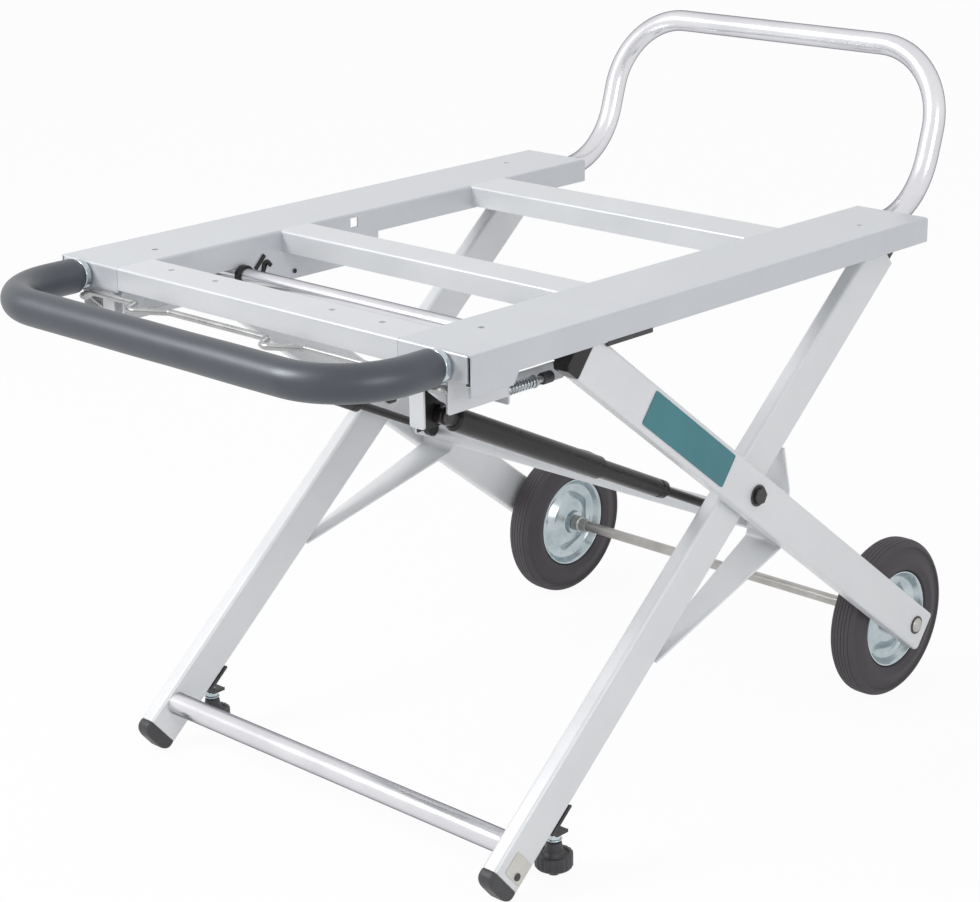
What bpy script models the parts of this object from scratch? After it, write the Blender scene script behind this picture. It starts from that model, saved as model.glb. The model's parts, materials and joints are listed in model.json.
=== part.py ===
"""Folding saw stand: a sheet steel table on scissor legs, with two wheels, gas springs and a tow handle.

Metres, +Z up, +X to the right, the foam grip at -Y. The origin is on the floor, under the stand's middle.
Places are worked out from the table: x across it, y back from its front edge, z up from its top.
"""
import math

import bmesh
import bpy
from mathutils import Matrix, Vector

# Table frame
TABLE_WIDTH = 0.600
TABLE_LENGTH = 0.732
RAIL_WIDTH = 0.097
RAIL_DEPTH = 0.027
SHEET = 0.002
GUIDE_LENGTH = 0.373
GUIDE_EDGE = 0.006
FRONT_CROSS_WIDTH = 0.051
MID_CROSS_START = 0.226
MID_CROSS_WIDTH = 0.046
REAR_CROSS_SETBACK = 0.204
REAR_CROSS_WIDTH = 0.060
CROSS_DROP = 0.024
SAW_HOLE_RADIUS = 0.0035
FRONT_HOLE_PLACES = (0.086, 0.155)
FRONT_HOLE_SETBACK = 0.031
RAIL_HOLE_INSET = 0.036
RAIL_HOLE_SETBACK = 0.078

# Scissor legs: rectangular tubes that cross at the main pivot
HINGE_INSET = 0.0377
HINGE_DROP = 0.0273
FRONT_LEG_ANGLE = math.radians(40.4)
WHEEL_LEG_ANGLE = math.radians(37.8)
SLIDER_SETBACK = 0.1667
FOLD_ANGLE = math.radians(23.0)
LEG_DEPTH = 0.048
LEG_THICK = 0.020
LEG_WALL = 0.002
LEG_SPACE = 0.0008
RAIL_CLEARANCE = 0.001
LEG_END_HEIGHT = 0.0315
AXLE_REACH = 0.399
WHEEL_LEG_OVERHANG = 0.018
WHEEL_LEG_END_GAP = 0.003
BOLT_RADIUS = 0.006
BOLT_HEAD_RADIUS = 0.0105
BOLT_HEAD_HEIGHT = 0.006
HINGE_PLATE = 0.004
HINGE_BOSS = 0.003
HINGE_BOSS_RADIUS = 0.009
HINGE_EAR_RADIUS = 0.018
TONGUE_RADIUS = 0.017
TONGUE_INSERT = 0.045

# Slider that joins the tops of the wheel legs
SLIDER_TUBE_RADIUS = 0.009
SLIDER_BUSH_RADIUS = 0.013
SLIDER_BUSH_LENGTH = 0.015
SLIDER_BLOCK_HEAD = 0.021
SLIDER_BLOCK_PLUG = 0.024
SLIDER_BLOCK_STEP = 0.004
SLOT_CLEARANCE = 0.0005

# Wheels
WHEEL_RADIUS = 0.0955
WHEEL_WIDTH = 0.038
WHEEL_SPACE = 0.0035
RIM_RADIUS = 0.058
AXLE_RADIUS = 0.006
AXLE_HEAD_RADIUS = 0.0095
AXLE_HEAD_HEIGHT = 0.0045
HUB_BOSS_RADIUS = 0.014
HUB_WEB = 0.010
SPACER_RADIUS = 0.010
SPACER_LENGTH = 0.022

# Handles: round tube, with a foam sleeve on the front one
HANDLE_RADIUS = 0.0127
FRONT_HANDLE_INSET = 0.038
FRONT_REACH = 0.122
FRONT_BEND = 0.078
FRONT_INSERT = 0.060
GRIP_RADIUS = 0.0195
COLLAR_RADIUS = 0.0165
COLLAR_LENGTH = 0.009
COLLAR_START = 0.001
REAR_HANDLE_INSET = 0.063
REAR_INSERT = 0.024
REAR_SETBACK = 0.071
REAR_RISE = 0.185
REAR_LEAN = math.radians(73.3)
REAR_BEND = 0.090

# Gas springs and their hangers at the front
SPRING_INSET = 0.0252
SPRING_FRONT_SETBACK = 0.033
SPRING_FRONT_DROP = 0.077
CYLINDER_RADIUS = 0.010
CYLINDER_END = 0.365
ROD_RADIUS = 0.005
ROD_OVERLAP = 0.030
EYE_RADIUS = 0.009
EYE_THICK = 0.010
EYE_NECK_RADIUS = 0.0045
EYE_NECK = 0.005
STUD_RADIUS = 0.004
STUD_HEAD_RADIUS = 0.007
STUD_HEAD = 0.003
HANGER_SHEET = 0.0025
HANGER_WIDTH = 0.024
HANGER_DEPTH = 0.020
HANGER_EAR_RADIUS = 0.012
HANGER_TAB = 0.062
STRIP_LENGTH = 0.185
STRIP_HEIGHT = 0.018
STRIP_CLEARANCE = 0.0045

# Strut frame behind the front legs, which takes the gas springs' push
STRUT_ALONG = 0.013
STRUT_BEHIND = 0.088
STRUT_RADIUS = 0.011
STRAP_LOWER = 0.204
STRAP_UPPER = 0.075
STRAP_BACK_ANGLE = math.radians(-41.1)
STRAP_BACK_LOW = 0.0232
STRAP_BACK_HIGH = 0.0392
STRAP_THICK = 0.003
STRAP_WIDTH = 0.050
STRAP_TIP_WIDTH = 0.018
LUG_REACH = 0.024
LUG_THICK = 0.004

# Release bar: one bent wire with two finger hooks, held back by coil springs
WIRE_RADIUS = 0.0035
BAR_FORWARD = 0.0055
BAR_DROP = 0.031
BAR_SHOULDER = 0.037
BAR_BEND = 0.010
LATCH_END = 0.150
LATCH_TIP_RADIUS = 0.006
LATCH_TIP_LENGTH = 0.014
LATCH_CLEARANCE = 0.002
LATCH_COLLAR_RADIUS = 0.0065
LATCH_COLLAR = 0.0025
HOOK_PLACES = (-0.155, 0.050)
HOOK_LEFT = 0.043
HOOK_RIGHT = 0.034
HOOK_REACH = 0.025
HOOK_BEND = 0.008
COIL_RADIUS = 0.0052
COIL_WIRE = 0.0006
COIL_TURNS = 8
COIL_START = 0.085
COIL_LENGTH = 0.038
COIL_POINTS = 8
GUIDE_SHEET = 0.002

# Feet
CAP_LENGTH = 0.026
CAP_ROUND = 0.018
CAP_PLUG = 0.018
FOOT_OUT = 0.0146
KNOB_RADIUS = 0.020
KNOB_HEIGHT = 0.024
KNOB_SEAT = 0.010
STEM_RADIUS = 0.004
STEM_ABOVE = 0.004
SHELF_HEIGHT = 0.046
SHELF_END = 0.017
BRACKET_SHEET = 0.003
BRACKET_FLANGE = 0.040
BRACKET_INSET = 0.001
NUT_RADIUS = 0.008
NUT_HEIGHT = 0.006
FOOT_TUBE_UP = 0.024
FOOT_TUBE_FORWARD = 0.008
FOOT_TUBE_RADIUS = 0.0127

# Plain plate on the right wheel leg
PLATE_LENGTH = 0.164
PLATE_DEPTH = 0.037
PLATE_THICK = 0.0008
PLATE_INSET = 0.1115

# Fits and facets
GAP = 0.0003
RUNNING = 0.0004
SEAM = 0.00005
WELD = 0.00001
ROUND = 16
FINE = 24
BEND_STEPS = 6
SIDES = ((-1, "left"), (1, "right"))

# Finishes: colour, roughness, metallic
PAINT = ((0.66, 0.67, 0.69, 1.0), 0.42, 0.55)
SATIN = ((0.80, 0.81, 0.83, 1.0), 0.25, 0.95)
ZINC = ((0.60, 0.66, 0.70, 1.0), 0.30, 0.90)
STEEL = ((0.42, 0.40, 0.36, 1.0), 0.40, 0.90)
DARK_STEEL = ((0.06, 0.055, 0.055, 1.0), 0.45, 0.60)
BLACK = ((0.025, 0.025, 0.028, 1.0), 0.38, 0.10)
FOAM = ((0.045, 0.048, 0.055, 1.0), 0.85, 0.0)
PLASTIC = ((0.05, 0.05, 0.055, 1.0), 0.55, 0.0)
RUBBER = ((0.035, 0.033, 0.035, 1.0), 0.75, 0.0)
TEAL = ((0.06, 0.22, 0.24, 1.0), 0.40, 0.0)

# Planes across the stand
HALF = TABLE_WIDTH / 2
RAIL_INNER = HALF - RAIL_WIDTH
WHEEL_LEG_OUTER = HALF - SHEET - RAIL_CLEARANCE
WHEEL_LEG_INNER = WHEEL_LEG_OUTER - LEG_THICK
FRONT_LEG_OUTER = WHEEL_LEG_INNER - LEG_SPACE
FRONT_LEG_INNER = FRONT_LEG_OUTER - LEG_THICK
FRONT_LEG_MIDDLE = FRONT_LEG_OUTER - LEG_THICK / 2
WHEEL_LEG_MIDDLE = WHEEL_LEG_OUTER - LEG_THICK / 2
WHEEL_OUTER = WHEEL_LEG_INNER - WHEEL_SPACE
WHEEL_MIDDLE = WHEEL_OUTER - WHEEL_WIDTH / 2
FRONT_HANDLE_X = HALF - FRONT_HANDLE_INSET
REAR_HANDLE_X = HALF - REAR_HANDLE_INSET
SPRING_X = FRONT_LEG_INNER - SPRING_INSET
HANGER_INNER = SPRING_X - EYE_THICK / 2 - RUNNING - HANGER_SHEET
HANGER_OUTER = HANGER_INNER + HANGER_WIDTH
TONGUE_INNER = FRONT_LEG_INNER + LEG_WALL + GAP
TONGUE_OUTER = FRONT_LEG_OUTER - LEG_WALL - GAP
UNDER = -SHEET - GAP
TUBE_DROP = SHEET + GAP + HANDLE_RADIUS

ACROSS = Vector((1, 0, 0))
BACK = Vector((0, 1, 0))
UP = Vector((0, 0, 1))


def heading(angle):
    """Unit vector in the side plane, at an angle up from the +Y direction."""
    return Vector((0.0, math.cos(angle), math.sin(angle)))


# Linkage places in the table's own frame: x, y back from the front edge, z from the top
LEG_UP = heading(FRONT_LEG_ANGLE)
LEG_BACK = heading(FRONT_LEG_ANGLE - math.pi / 2)
ARM_UP = heading(math.pi - WHEEL_LEG_ANGLE)
ARM_TOP = heading(math.pi / 2 - WHEEL_LEG_ANGLE)
HINGE = Vector((0.0, TABLE_LENGTH - HINGE_INSET, -HINGE_DROP))
ARM = (HINGE.y - SLIDER_SETBACK) / (math.cos(FRONT_LEG_ANGLE) + math.cos(WHEEL_LEG_ANGLE))
PIVOT = HINGE - ARM * LEG_UP
SLIDER = PIVOT + ARM * ARM_UP
AXLE = PIVOT - AXLE_REACH * ARM_UP
TRACK = (SLIDER - HINGE).normalized()
HALF_OPENING = (FRONT_LEG_ANGLE + WHEEL_LEG_ANGLE) / 2
SLIDER_FOLDED = HINGE + 2 * ARM * math.cos(HALF_OPENING - FOLD_ANGLE) * TRACK
SLIDER_LOW = min(SLIDER.z, SLIDER_FOLDED.z) - SLIDER_TUBE_RADIUS
GUIDE_LOW = SLIDER_LOW - SLOT_CLEARANCE - GUIDE_EDGE
STRIP_TOP = SLIDER_LOW - STRIP_CLEARANCE
LATCH_Z = SLIDER_LOW - LATCH_CLEARANCE - COIL_RADIUS - COIL_WIRE

STRUT = PIVOT + STRUT_ALONG * LEG_UP + STRUT_BEHIND * LEG_BACK
SPRING_FRONT = Vector((0.0, SPRING_FRONT_SETBACK, -SPRING_FRONT_DROP))
SPRING_LINE = (STRUT - SPRING_FRONT).normalized()
SPRING_REAR = STRUT - LUG_REACH * SPRING_LINE
SPRING_LENGTH = (SPRING_REAR - SPRING_FRONT).length
FOLD = Matrix.Rotation(-FOLD_ANGLE, 3, "X")
SPRING_FOLDED = (HINGE + FOLD @ (SPRING_REAR - HINGE) - SPRING_FRONT).length

# The floor is under the wheels, and the origin is half way along the stand
TABLE_HEIGHT = WHEEL_RADIUS - AXLE.z
FRONT_LEG_LOWER = (PIVOT.z + TABLE_HEIGHT - LEG_END_HEIGHT) / LEG_UP.z
FOOT_TUBE_ALONG = FRONT_LEG_LOWER - FOOT_TUBE_UP
BRACKET_SHELF = SHELF_HEIGHT + BRACKET_SHEET / 2 - TABLE_HEIGHT
BRACKET_FACE = PIVOT + (LEG_DEPTH / 2 + GAP + BRACKET_SHEET / 2) * LEG_BACK
BRACKET_BEND = BRACKET_FACE + LEG_UP * (BRACKET_SHELF - BRACKET_FACE.z) / LEG_UP.z
FOOT_SETBACK = BRACKET_BEND.y + FOOT_OUT
GRIP_FRONT = -FRONT_REACH - GRIP_RADIUS
HANDLE_BACK = TABLE_LENGTH + REAR_SETBACK + REAR_RISE * math.cos(REAR_LEAN) + HANDLE_RADIUS
TABLE_FRONT = -(GRIP_FRONT + HANDLE_BACK) / 2


def at(x, y, z):
    """World place of a point given in the table's own frame."""
    return Vector((x, y + TABLE_FRONT, z + TABLE_HEIGHT))


def side_point(x, place):
    """World place at x of a point of the side plane."""
    return at(x, place.y, place.z)


def pair(place):
    """A side plane's point as drawing coordinates."""
    return place.y, place.z


def collection(name):
    """New collection in the scene."""
    group = bpy.data.collections.new(name)
    bpy.context.scene.collection.children.link(group)
    return group


def axis_empty(name, place, parent=None):
    """Empty that stands on a joint's axis."""
    empty = bpy.data.objects.new(name, None)
    empty.empty_display_size = 0.03
    STAND.objects.link(empty)
    empty.location = place
    if parent:
        empty.location = place - parent.matrix_world.translation
        empty.parent = parent
    bpy.context.view_layer.update()
    return empty


def finish(thing, look):
    """Give an object its own material."""
    colour, roughness, metallic = look
    material = bpy.data.materials.new(thing.name + "_finish")
    material.use_nodes = True
    shader = material.node_tree.nodes["Principled BSDF"]
    shader.inputs["Base Color"].default_value = colour
    shader.inputs["Roughness"].default_value = roughness
    shader.inputs["Metallic"].default_value = metallic
    thing.data.materials.append(material)


def piece(name, shape, look, axis):
    """Named part of the stand from a finished shape, placed on its joint's axis."""
    place = axis.matrix_world.translation
    mesh = shape.data
    mesh.name = name
    mesh.transform(Matrix.Translation(-place) @ shape.matrix_world)
    mesh.materials.clear()
    mesh.shade_smooth()
    mesh.set_sharp_from_angle(angle=math.radians(35))
    bpy.data.objects.remove(shape, do_unlink=True)
    thing = bpy.data.objects.new(name, mesh)
    STAND.objects.link(thing)
    thing.parent = axis
    finish(thing, look)


def blank(mesh, frame):
    """Shape that is still being worked on, kept with the cutters."""
    shape = bpy.data.objects.new("blank", mesh)
    CUTTERS.objects.link(shape)
    shape.matrix_world = frame
    shape.hide_render = True
    shape.display_type = "WIRE"
    return shape


def real_mesh(thing):
    """Mesh of a curve or of an object with modifiers, which is used up."""
    bpy.context.view_layer.update()
    graph = bpy.context.evaluated_depsgraph_get()
    mesh = bpy.data.meshes.new_from_object(thing.evaluated_get(graph))
    bpy.data.objects.remove(thing, do_unlink=True)
    return mesh


def closed_mesh(thing):
    """Mesh of a curve or a turned profile, with its caps and seams welded and its faces pointing out."""
    mesh = real_mesh(thing)
    shell = bmesh.new()
    shell.from_mesh(mesh)
    bmesh.ops.remove_doubles(shell, verts=shell.verts, dist=WELD)
    bmesh.ops.recalc_face_normals(shell, faces=shell.faces)
    shell.to_mesh(mesh)
    shell.free()
    return mesh


def combine(shape, operation, *others):
    """Boolean of a shape with the others, which are used up."""
    for other in others:
        boolean = shape.modifiers.new(operation, "BOOLEAN")
        boolean.operation = operation
        boolean.solver = "EXACT"
        boolean.object = other
        frame = shape.matrix_world.copy()
        shape = blank(real_mesh(shape), frame)
        bpy.data.objects.remove(other, do_unlink=True)
    return shape


def box(near, far, y, z):
    """Box between two x values and pairs of y and z values of the table's frame."""
    low = at(min(near, far), min(y), min(z))
    high = at(max(near, far), max(y), max(z))
    size = Matrix.Diagonal((*(high - low), 1.0))
    mesh = bpy.data.meshes.new("box")
    shell = bmesh.new()
    bmesh.ops.create_cube(shell, size=1.0, matrix=Matrix.Translation((low + high) / 2) @ size)
    shell.to_mesh(mesh)
    shell.free()
    return blank(mesh, Matrix.Identity(4))


def plane(origin, across, up):
    """Matrix of a drawing plane, from its origin and its two directions."""
    rotation = Matrix((across, up, across.cross(up))).transposed().to_4x4()
    return Matrix.Translation(origin) @ rotation


def side_plane(x):
    """Drawing plane square to X: y back from the front edge and z from the top."""
    return plane(at(x, 0.0, 0.0), BACK, UP)


def leg_plane(x):
    """Drawing plane along a front leg: u up the leg and v to its rear."""
    return plane(side_point(x, PIVOT), LEG_UP, LEG_BACK)


def arm_plane(x):
    """Drawing plane along a wheel leg: u up to the slider and v to its top edge."""
    return plane(side_point(x, PIVOT), ARM_UP, ARM_TOP)


def plate(frame, thick, outline, *holes):
    """Flat outline with holes, its thickness shared to both sides of the drawing plane."""
    curve = bpy.data.curves.new("outline", "CURVE")
    curve.dimensions = "2D"
    curve.fill_mode = "BOTH"
    curve.extrude = thick / 2
    for loop in (outline, *holes):
        spline = curve.splines.new("POLY")
        spline.points.add(len(loop) - 1)
        for point, (u, v) in zip(spline.points, loop):
            point.co = (u, v, 0.0, 1.0)
        spline.use_cyclic_u = True
    thing = bpy.data.objects.new("outline", curve)
    CUTTERS.objects.link(thing)
    return blank(closed_mesh(thing), frame)


def rectangle(u0, v0, u1, v1):
    """Corners of a rectangle."""
    return [(u0, v0), (u1, v0), (u1, v1), (u0, v1)]


def arc(centre, radius, start, end, steps):
    """Points of an arc, angles in degrees."""
    turns = [math.radians(start + (end - start) * step / steps) for step in range(steps + 1)]
    return [(centre[0] + radius * math.cos(turn), centre[1] + radius * math.sin(turn)) for turn in turns]


def circle(centre, radius, steps=ROUND):
    """Points of a circle."""
    return arc(centre, radius, 0.0, 360.0, steps)[:-1]


def capsule(start, end, radius, steps=8):
    """Outline with two round ends, as a slot or a link has."""
    turn = math.degrees(math.atan2(end[1] - start[1], end[0] - start[0]))
    return arc(start, radius, turn + 90, turn + 270, steps) + arc(end, radius, turn - 90, turn + 90, steps)


def channel(width, drop):
    """Section of a sheet channel that is open below."""
    inner = width - SHEET
    return [(0, 0), (width, 0), (width, -drop), (inner, -drop), (inner, -SHEET), (SHEET, -SHEET),
            (SHEET, -drop), (0, -drop)]


def ribbon(points, thick):
    """Outline of a bent strip about its middle line, with mitred bends and square ends."""
    points = [Vector(point) for point in points]
    runs = [(after - before).normalized() for before, after in zip(points, points[1:])]
    runs = [runs[0], *runs, runs[-1]]
    left = []
    right = []
    for point, before, after in zip(points, runs, runs[1:]):
        mitre = Vector((-before.y - after.y, before.x + after.x)).normalized()
        offset = mitre * thick / 2 / mitre.dot(Vector((-after.y, after.x)))
        left.append(tuple(point + offset))
        right.append(tuple(point - offset))
    return left + right[::-1]


def pin(x0, x1, place, radius, steps=ROUND):
    """Bar along X, round or with as many sides as steps."""
    return plate(side_plane((x0 + x1) / 2), abs(x1 - x0), circle(pair(place), radius, steps))


def ring(x0, x1, place, radius, bore):
    """Round sleeve along X."""
    middle = side_plane((x0 + x1) / 2)
    return plate(middle, abs(x1 - x0), circle(pair(place), radius), circle(pair(place), bore))


def leg_tube(x, along, depth, start, end):
    """Rectangular tube along a leg, between two distances from the main pivot."""
    centre = side_point(x, PIVOT + (start + end) / 2 * along)
    wide = LEG_THICK / 2
    deep = LEG_DEPTH / 2
    bore = rectangle(LEG_WALL - wide, LEG_WALL - deep, wide - LEG_WALL, deep - LEG_WALL)
    return plate(plane(centre, ACROSS, depth), end - start, rectangle(-wide, -deep, wide, deep), bore)


def turned(profile, frame, steps=FINE):
    """Profile of radius and height points, turned round the frame's own Z axis."""
    last = len(profile) - 1
    edges = [(place, place + 1) for place in range(last)]
    if profile[0][0] > 0:
        edges.append((last, 0))
    mesh = bpy.data.meshes.new("profile")
    mesh.from_pydata([(radius, 0.0, height) for radius, height in profile], edges, [])
    thing = blank(mesh, Matrix.Identity(4))
    screw = thing.modifiers.new("turn", "SCREW")
    screw.steps = steps
    screw.render_steps = steps
    screw.use_merge_vertices = True
    screw.merge_threshold = WELD
    return blank(closed_mesh(thing), frame)


def bent_tube(points, radius, resolution=3):
    """Round bar along a path of world points, with filled ends."""
    curve = bpy.data.curves.new("path", "CURVE")
    curve.dimensions = "3D"
    curve.bevel_depth = radius
    curve.bevel_resolution = resolution
    curve.use_fill_caps = True
    spline = curve.splines.new("POLY")
    spline.points.add(len(points) - 1)
    for point, place in zip(spline.points, points):
        point.co = (*place, 1.0)
    thing = bpy.data.objects.new("path", curve)
    CUTTERS.objects.link(thing)
    return blank(closed_mesh(thing), Matrix.Identity(4))


def rounded(corners, bends, steps=BEND_STEPS):
    """Path through corners, each turned with its own bend radius."""
    path = [corners[0]]
    for before, corner, after, bend in zip(corners, corners[1:], corners[2:], bends):
        back = (before - corner).normalized()
        ahead = (after - corner).normalized()
        turn = math.pi - back.angle(ahead)
        centre = corner + (back + ahead).normalized() * bend / math.cos(turn / 2)
        first = corner + back * bend * math.tan(turn / 2) - centre
        axis = first.cross(-back).normalized()
        for step in range(steps + 1):
            path.append(centre + Matrix.Rotation(turn * step / steps, 3, axis) @ first)
    return path + [corners[-1]]


def mirrored(points):
    """Path followed by its own mirror image across the middle of the stand."""
    return points + [Vector((-point.x, point.y, point.z)) for point in reversed(points)]


def drill(x, y):
    """Cutter for a saw bolt hole in the table's top."""
    return plate(plane(at(x, y, 0), ACROSS, BACK), 4 * SHEET, circle((0, 0), SAW_HOLE_RADIUS, 12))


def make_rail(side, tag):
    """Pressed rail: top, two flanges, a front end, and a deep inner guide with the slider's slot."""
    section = plane(at(0, TABLE_LENGTH / 2, 0), ACROSS, UP)
    flange = HALF - SHEET
    outline = [(RAIL_INNER, 0), (HALF, 0), (HALF, -RAIL_DEPTH), (flange, -RAIL_DEPTH), (flange, -SHEET),
               (RAIL_INNER, -SHEET)]
    rail = plate(section, TABLE_LENGTH, [(side * x, z) for x, z in outline])
    slot = capsule(pair(SLIDER_FOLDED), pair(SLIDER), SLIDER_TUBE_RADIUS + SLOT_CLEARANCE)
    rear = TABLE_LENGTH - SEAM
    outline = [(SEAM, -SHEET / 2), (SEAM, GUIDE_LOW), (GUIDE_LENGTH, GUIDE_LOW), (GUIDE_LENGTH, -RAIL_DEPTH),
               (rear, -RAIL_DEPTH), (rear, -SHEET / 2)]
    guide = plate(side_plane(side * (RAIL_INNER + SEAM + SHEET / 2)), SHEET, outline, slot)
    face = plane(at(0, 2 * SEAM + SHEET / 2, 0), ACROSS, UP)
    middle = SHEET / 2
    end = rectangle(side * (RAIL_INNER + middle), SEAM - RAIL_DEPTH, side * (HALF - middle), -middle)
    notch = plate(face, 4 * SHEET, circle((side * FRONT_HANDLE_X, -TUBE_DROP), HANDLE_RADIUS + GAP))
    rail = combine(rail, "UNION", guide, combine(plate(face, SHEET, end), "DIFFERENCE", notch))
    front = drill(side * (RAIL_INNER + RAIL_HOLE_INSET), RAIL_HOLE_SETBACK)
    rear = drill(side * (HALF - RAIL_HOLE_INSET), TABLE_LENGTH - RAIL_HOLE_SETBACK)
    piece("rail_" + tag, combine(rail, "DIFFERENCE", front, rear), PAINT, TABLE)


def make_cross_members():
    """Three channels between the rails, flush with their tops."""
    length = 2 * (RAIL_INNER - GAP)
    rear_start = TABLE_LENGTH - REAR_CROSS_SETBACK
    for name, start, width in (("front", 0.0, FRONT_CROSS_WIDTH), ("mid", MID_CROSS_START, MID_CROSS_WIDTH),
                               ("rear", rear_start, REAR_CROSS_WIDTH)):
        member = plate(plane(at(0, start, 0), BACK, UP), length, channel(width, CROSS_DROP))
        if name == "front":
            holes = [drill(side * x, FRONT_HOLE_SETBACK) for side, _ in SIDES for x in FRONT_HOLE_PLACES]
            member = combine(member, "DIFFERENCE", *holes)
        piece(name + "_cross_member", member, PAINT, TABLE)


def make_handles():
    """Front tow handle with its foam sleeve and collars, and the tall rear handle."""
    x = FRONT_HANDLE_X
    corners = mirrored([at(x, FRONT_INSERT, -TUBE_DROP), at(x, -FRONT_REACH, -TUBE_DROP)])
    path = rounded(corners, (FRONT_BEND, FRONT_BEND))
    piece("front_handle", bent_tube(path, HANDLE_RADIUS), SATIN, TABLE)
    end = -COLLAR_START - COLLAR_LENGTH - GAP
    sleeve = [at(x, end, -TUBE_DROP), *path[1:-1], at(-x, end, -TUBE_DROP)]
    foam = combine(bent_tube(sleeve, GRIP_RADIUS), "DIFFERENCE", bent_tube(path, HANDLE_RADIUS + GAP))
    piece("front_grip", foam, FOAM, TABLE)
    for side, tag in SIDES:
        facing = plane(at(side * x, -COLLAR_START - COLLAR_LENGTH / 2, -TUBE_DROP), ACROSS, UP)
        bore = circle((0, 0), HANDLE_RADIUS + GAP)
        collar = plate(facing, COLLAR_LENGTH, circle((0, 0), COLLAR_RADIUS), bore)
        piece("handle_collar_" + tag, collar, SATIN, TABLE)
    corner = at(REAR_HANDLE_X, TABLE_LENGTH + REAR_SETBACK, -TUBE_DROP)
    start = at(REAR_HANDLE_X, TABLE_LENGTH - REAR_INSERT, -TUBE_DROP)
    corners = mirrored([start, corner, corner + REAR_RISE * heading(REAR_LEAN)])
    piece("rear_handle", bent_tube(rounded(corners, (REAR_BEND,) * 4), HANDLE_RADIUS), SATIN, TABLE)


def make_hinge(side, tag):
    """Bracket under the rear of a rail, with the bolt and the tongue of the front leg's hinge."""
    y, z = pair(HINGE)
    wide = HINGE_EAR_RADIUS
    boss = TONGUE_INNER - RUNNING
    face = boss - HINGE_BOSS
    inner = face - HINGE_PLATE
    outline = [(y + wide, UNDER), (y - wide, UNDER), *arc((y, z), wide, 180, 360, 10)]
    web = plate(side_plane(side * (inner + face) / 2), HINGE_PLATE, outline)
    tab = box(side * inner, side * WHEEL_LEG_OUTER, (y - wide, y + wide), (UNDER, UNDER - SHEET))
    round_boss = pin(side * (face - HINGE_PLATE / 2), side * boss, HINGE, HINGE_BOSS_RADIUS)
    bore = pin(side * (inner - HINGE_PLATE), side * (boss + HINGE_PLATE), HINGE, BOLT_RADIUS + RUNNING)
    bracket = combine(web, "UNION", tab, round_boss)
    piece("hinge_bracket_" + tag, combine(bracket, "DIFFERENCE", bore), PAINT, TABLE)

    start = inner - GAP - BOLT_HEAD_HEIGHT
    cap = TONGUE_OUTER + GAP
    end = FRONT_LEG_OUTER
    head = pin(side * start, side * (inner - GAP), HINGE, BOLT_HEAD_RADIUS, 6)
    shank = pin(side * (inner - BOLT_HEAD_HEIGHT / 2), side * (cap + LEG_WALL / 2), HINGE, BOLT_RADIUS)
    rivet = pin(side * cap, side * end, HINGE, HINGE_BOSS_RADIUS)
    piece("hinge_bolt_" + tag, combine(shank, "UNION", head, rivet), DARK_STEEL, FRONT_AXIS)

    root = ARM - TONGUE_INSERT
    radius = TONGUE_RADIUS
    outline = [(root, radius), (root, -radius), *arc((ARM, 0), radius, -90, 90, 10)]
    hole = circle((ARM, 0), BOLT_RADIUS + GAP)
    tongue = plate(leg_plane(side * FRONT_LEG_MIDDLE), TONGUE_OUTER - TONGUE_INNER, outline, hole)
    piece("hinge_tongue_" + tag, tongue, PLASTIC, FRONT_AXIS)


def make_hanger(side, tag):
    """Bent sheet hanger under a rail's front end, with the gas spring's stud and the latch guide."""
    front = SHEET + GAP + 2 * SEAM
    inside = front + HANGER_SHEET / 2
    low = SPRING_FRONT.z - HANGER_EAR_RADIUS - SEAM
    face = box(side * HANGER_INNER, side * HANGER_OUTER, (front, front + HANGER_SHEET), (UNDER, low))
    ear = arc(pair(SPRING_FRONT), HANGER_EAR_RADIUS, 75, -90, 8)
    top = UNDER - SEAM
    outline = [(inside, top), (HANGER_DEPTH, top), (HANGER_DEPTH, STRIP_TOP), *ear, (inside, low + SEAM)]
    cheek = plate(side_plane(side * (HANGER_INNER + SEAM + HANGER_SHEET / 2)), HANGER_SHEET, outline)
    strip_outer = HANGER_OUTER - SEAM
    strip_inner = strip_outer - HANGER_SHEET
    strip_low = STRIP_TOP - STRIP_HEIGHT
    strip = box(side * strip_inner, side * strip_outer, (inside, STRIP_LENGTH), (STRIP_TOP, strip_low))
    middle = HANGER_INNER + HANGER_SHEET / 2
    tab = box(side * middle, side * strip_inner, (inside, HANGER_TAB), (top - SEAM, top - HANGER_SHEET))
    eye_end = SPRING_X + EYE_THICK / 2 + RUNNING
    stud = pin(side * middle, side * (eye_end + STUD_HEAD / 2), SPRING_FRONT, STUD_RADIUS)
    head = pin(side * eye_end, side * (eye_end + STUD_HEAD), SPRING_FRONT, STUD_HEAD_RADIUS)

    guide_y = COIL_START - GAP - GUIDE_SHEET / 2
    facing = plane(at(0, guide_y, 0), ACROSS, UP)
    latch = (side * FRONT_HANDLE_X, LATCH_Z)
    web = rectangle(side * (HANGER_OUTER - HANGER_SHEET / 2), strip_low + SEAM,
                    side * (FRONT_HANDLE_X + LATCH_COLLAR_RADIUS), LATCH_Z + LATCH_TIP_RADIUS)
    guide = plate(facing, GUIDE_SHEET, web, circle(latch, WIRE_RADIUS + RUNNING, 12))
    hanger = combine(face, "UNION", cheek, strip, tab, stud, head, guide)
    piece("spring_hanger_" + tag, hanger, PAINT, TABLE)


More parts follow.
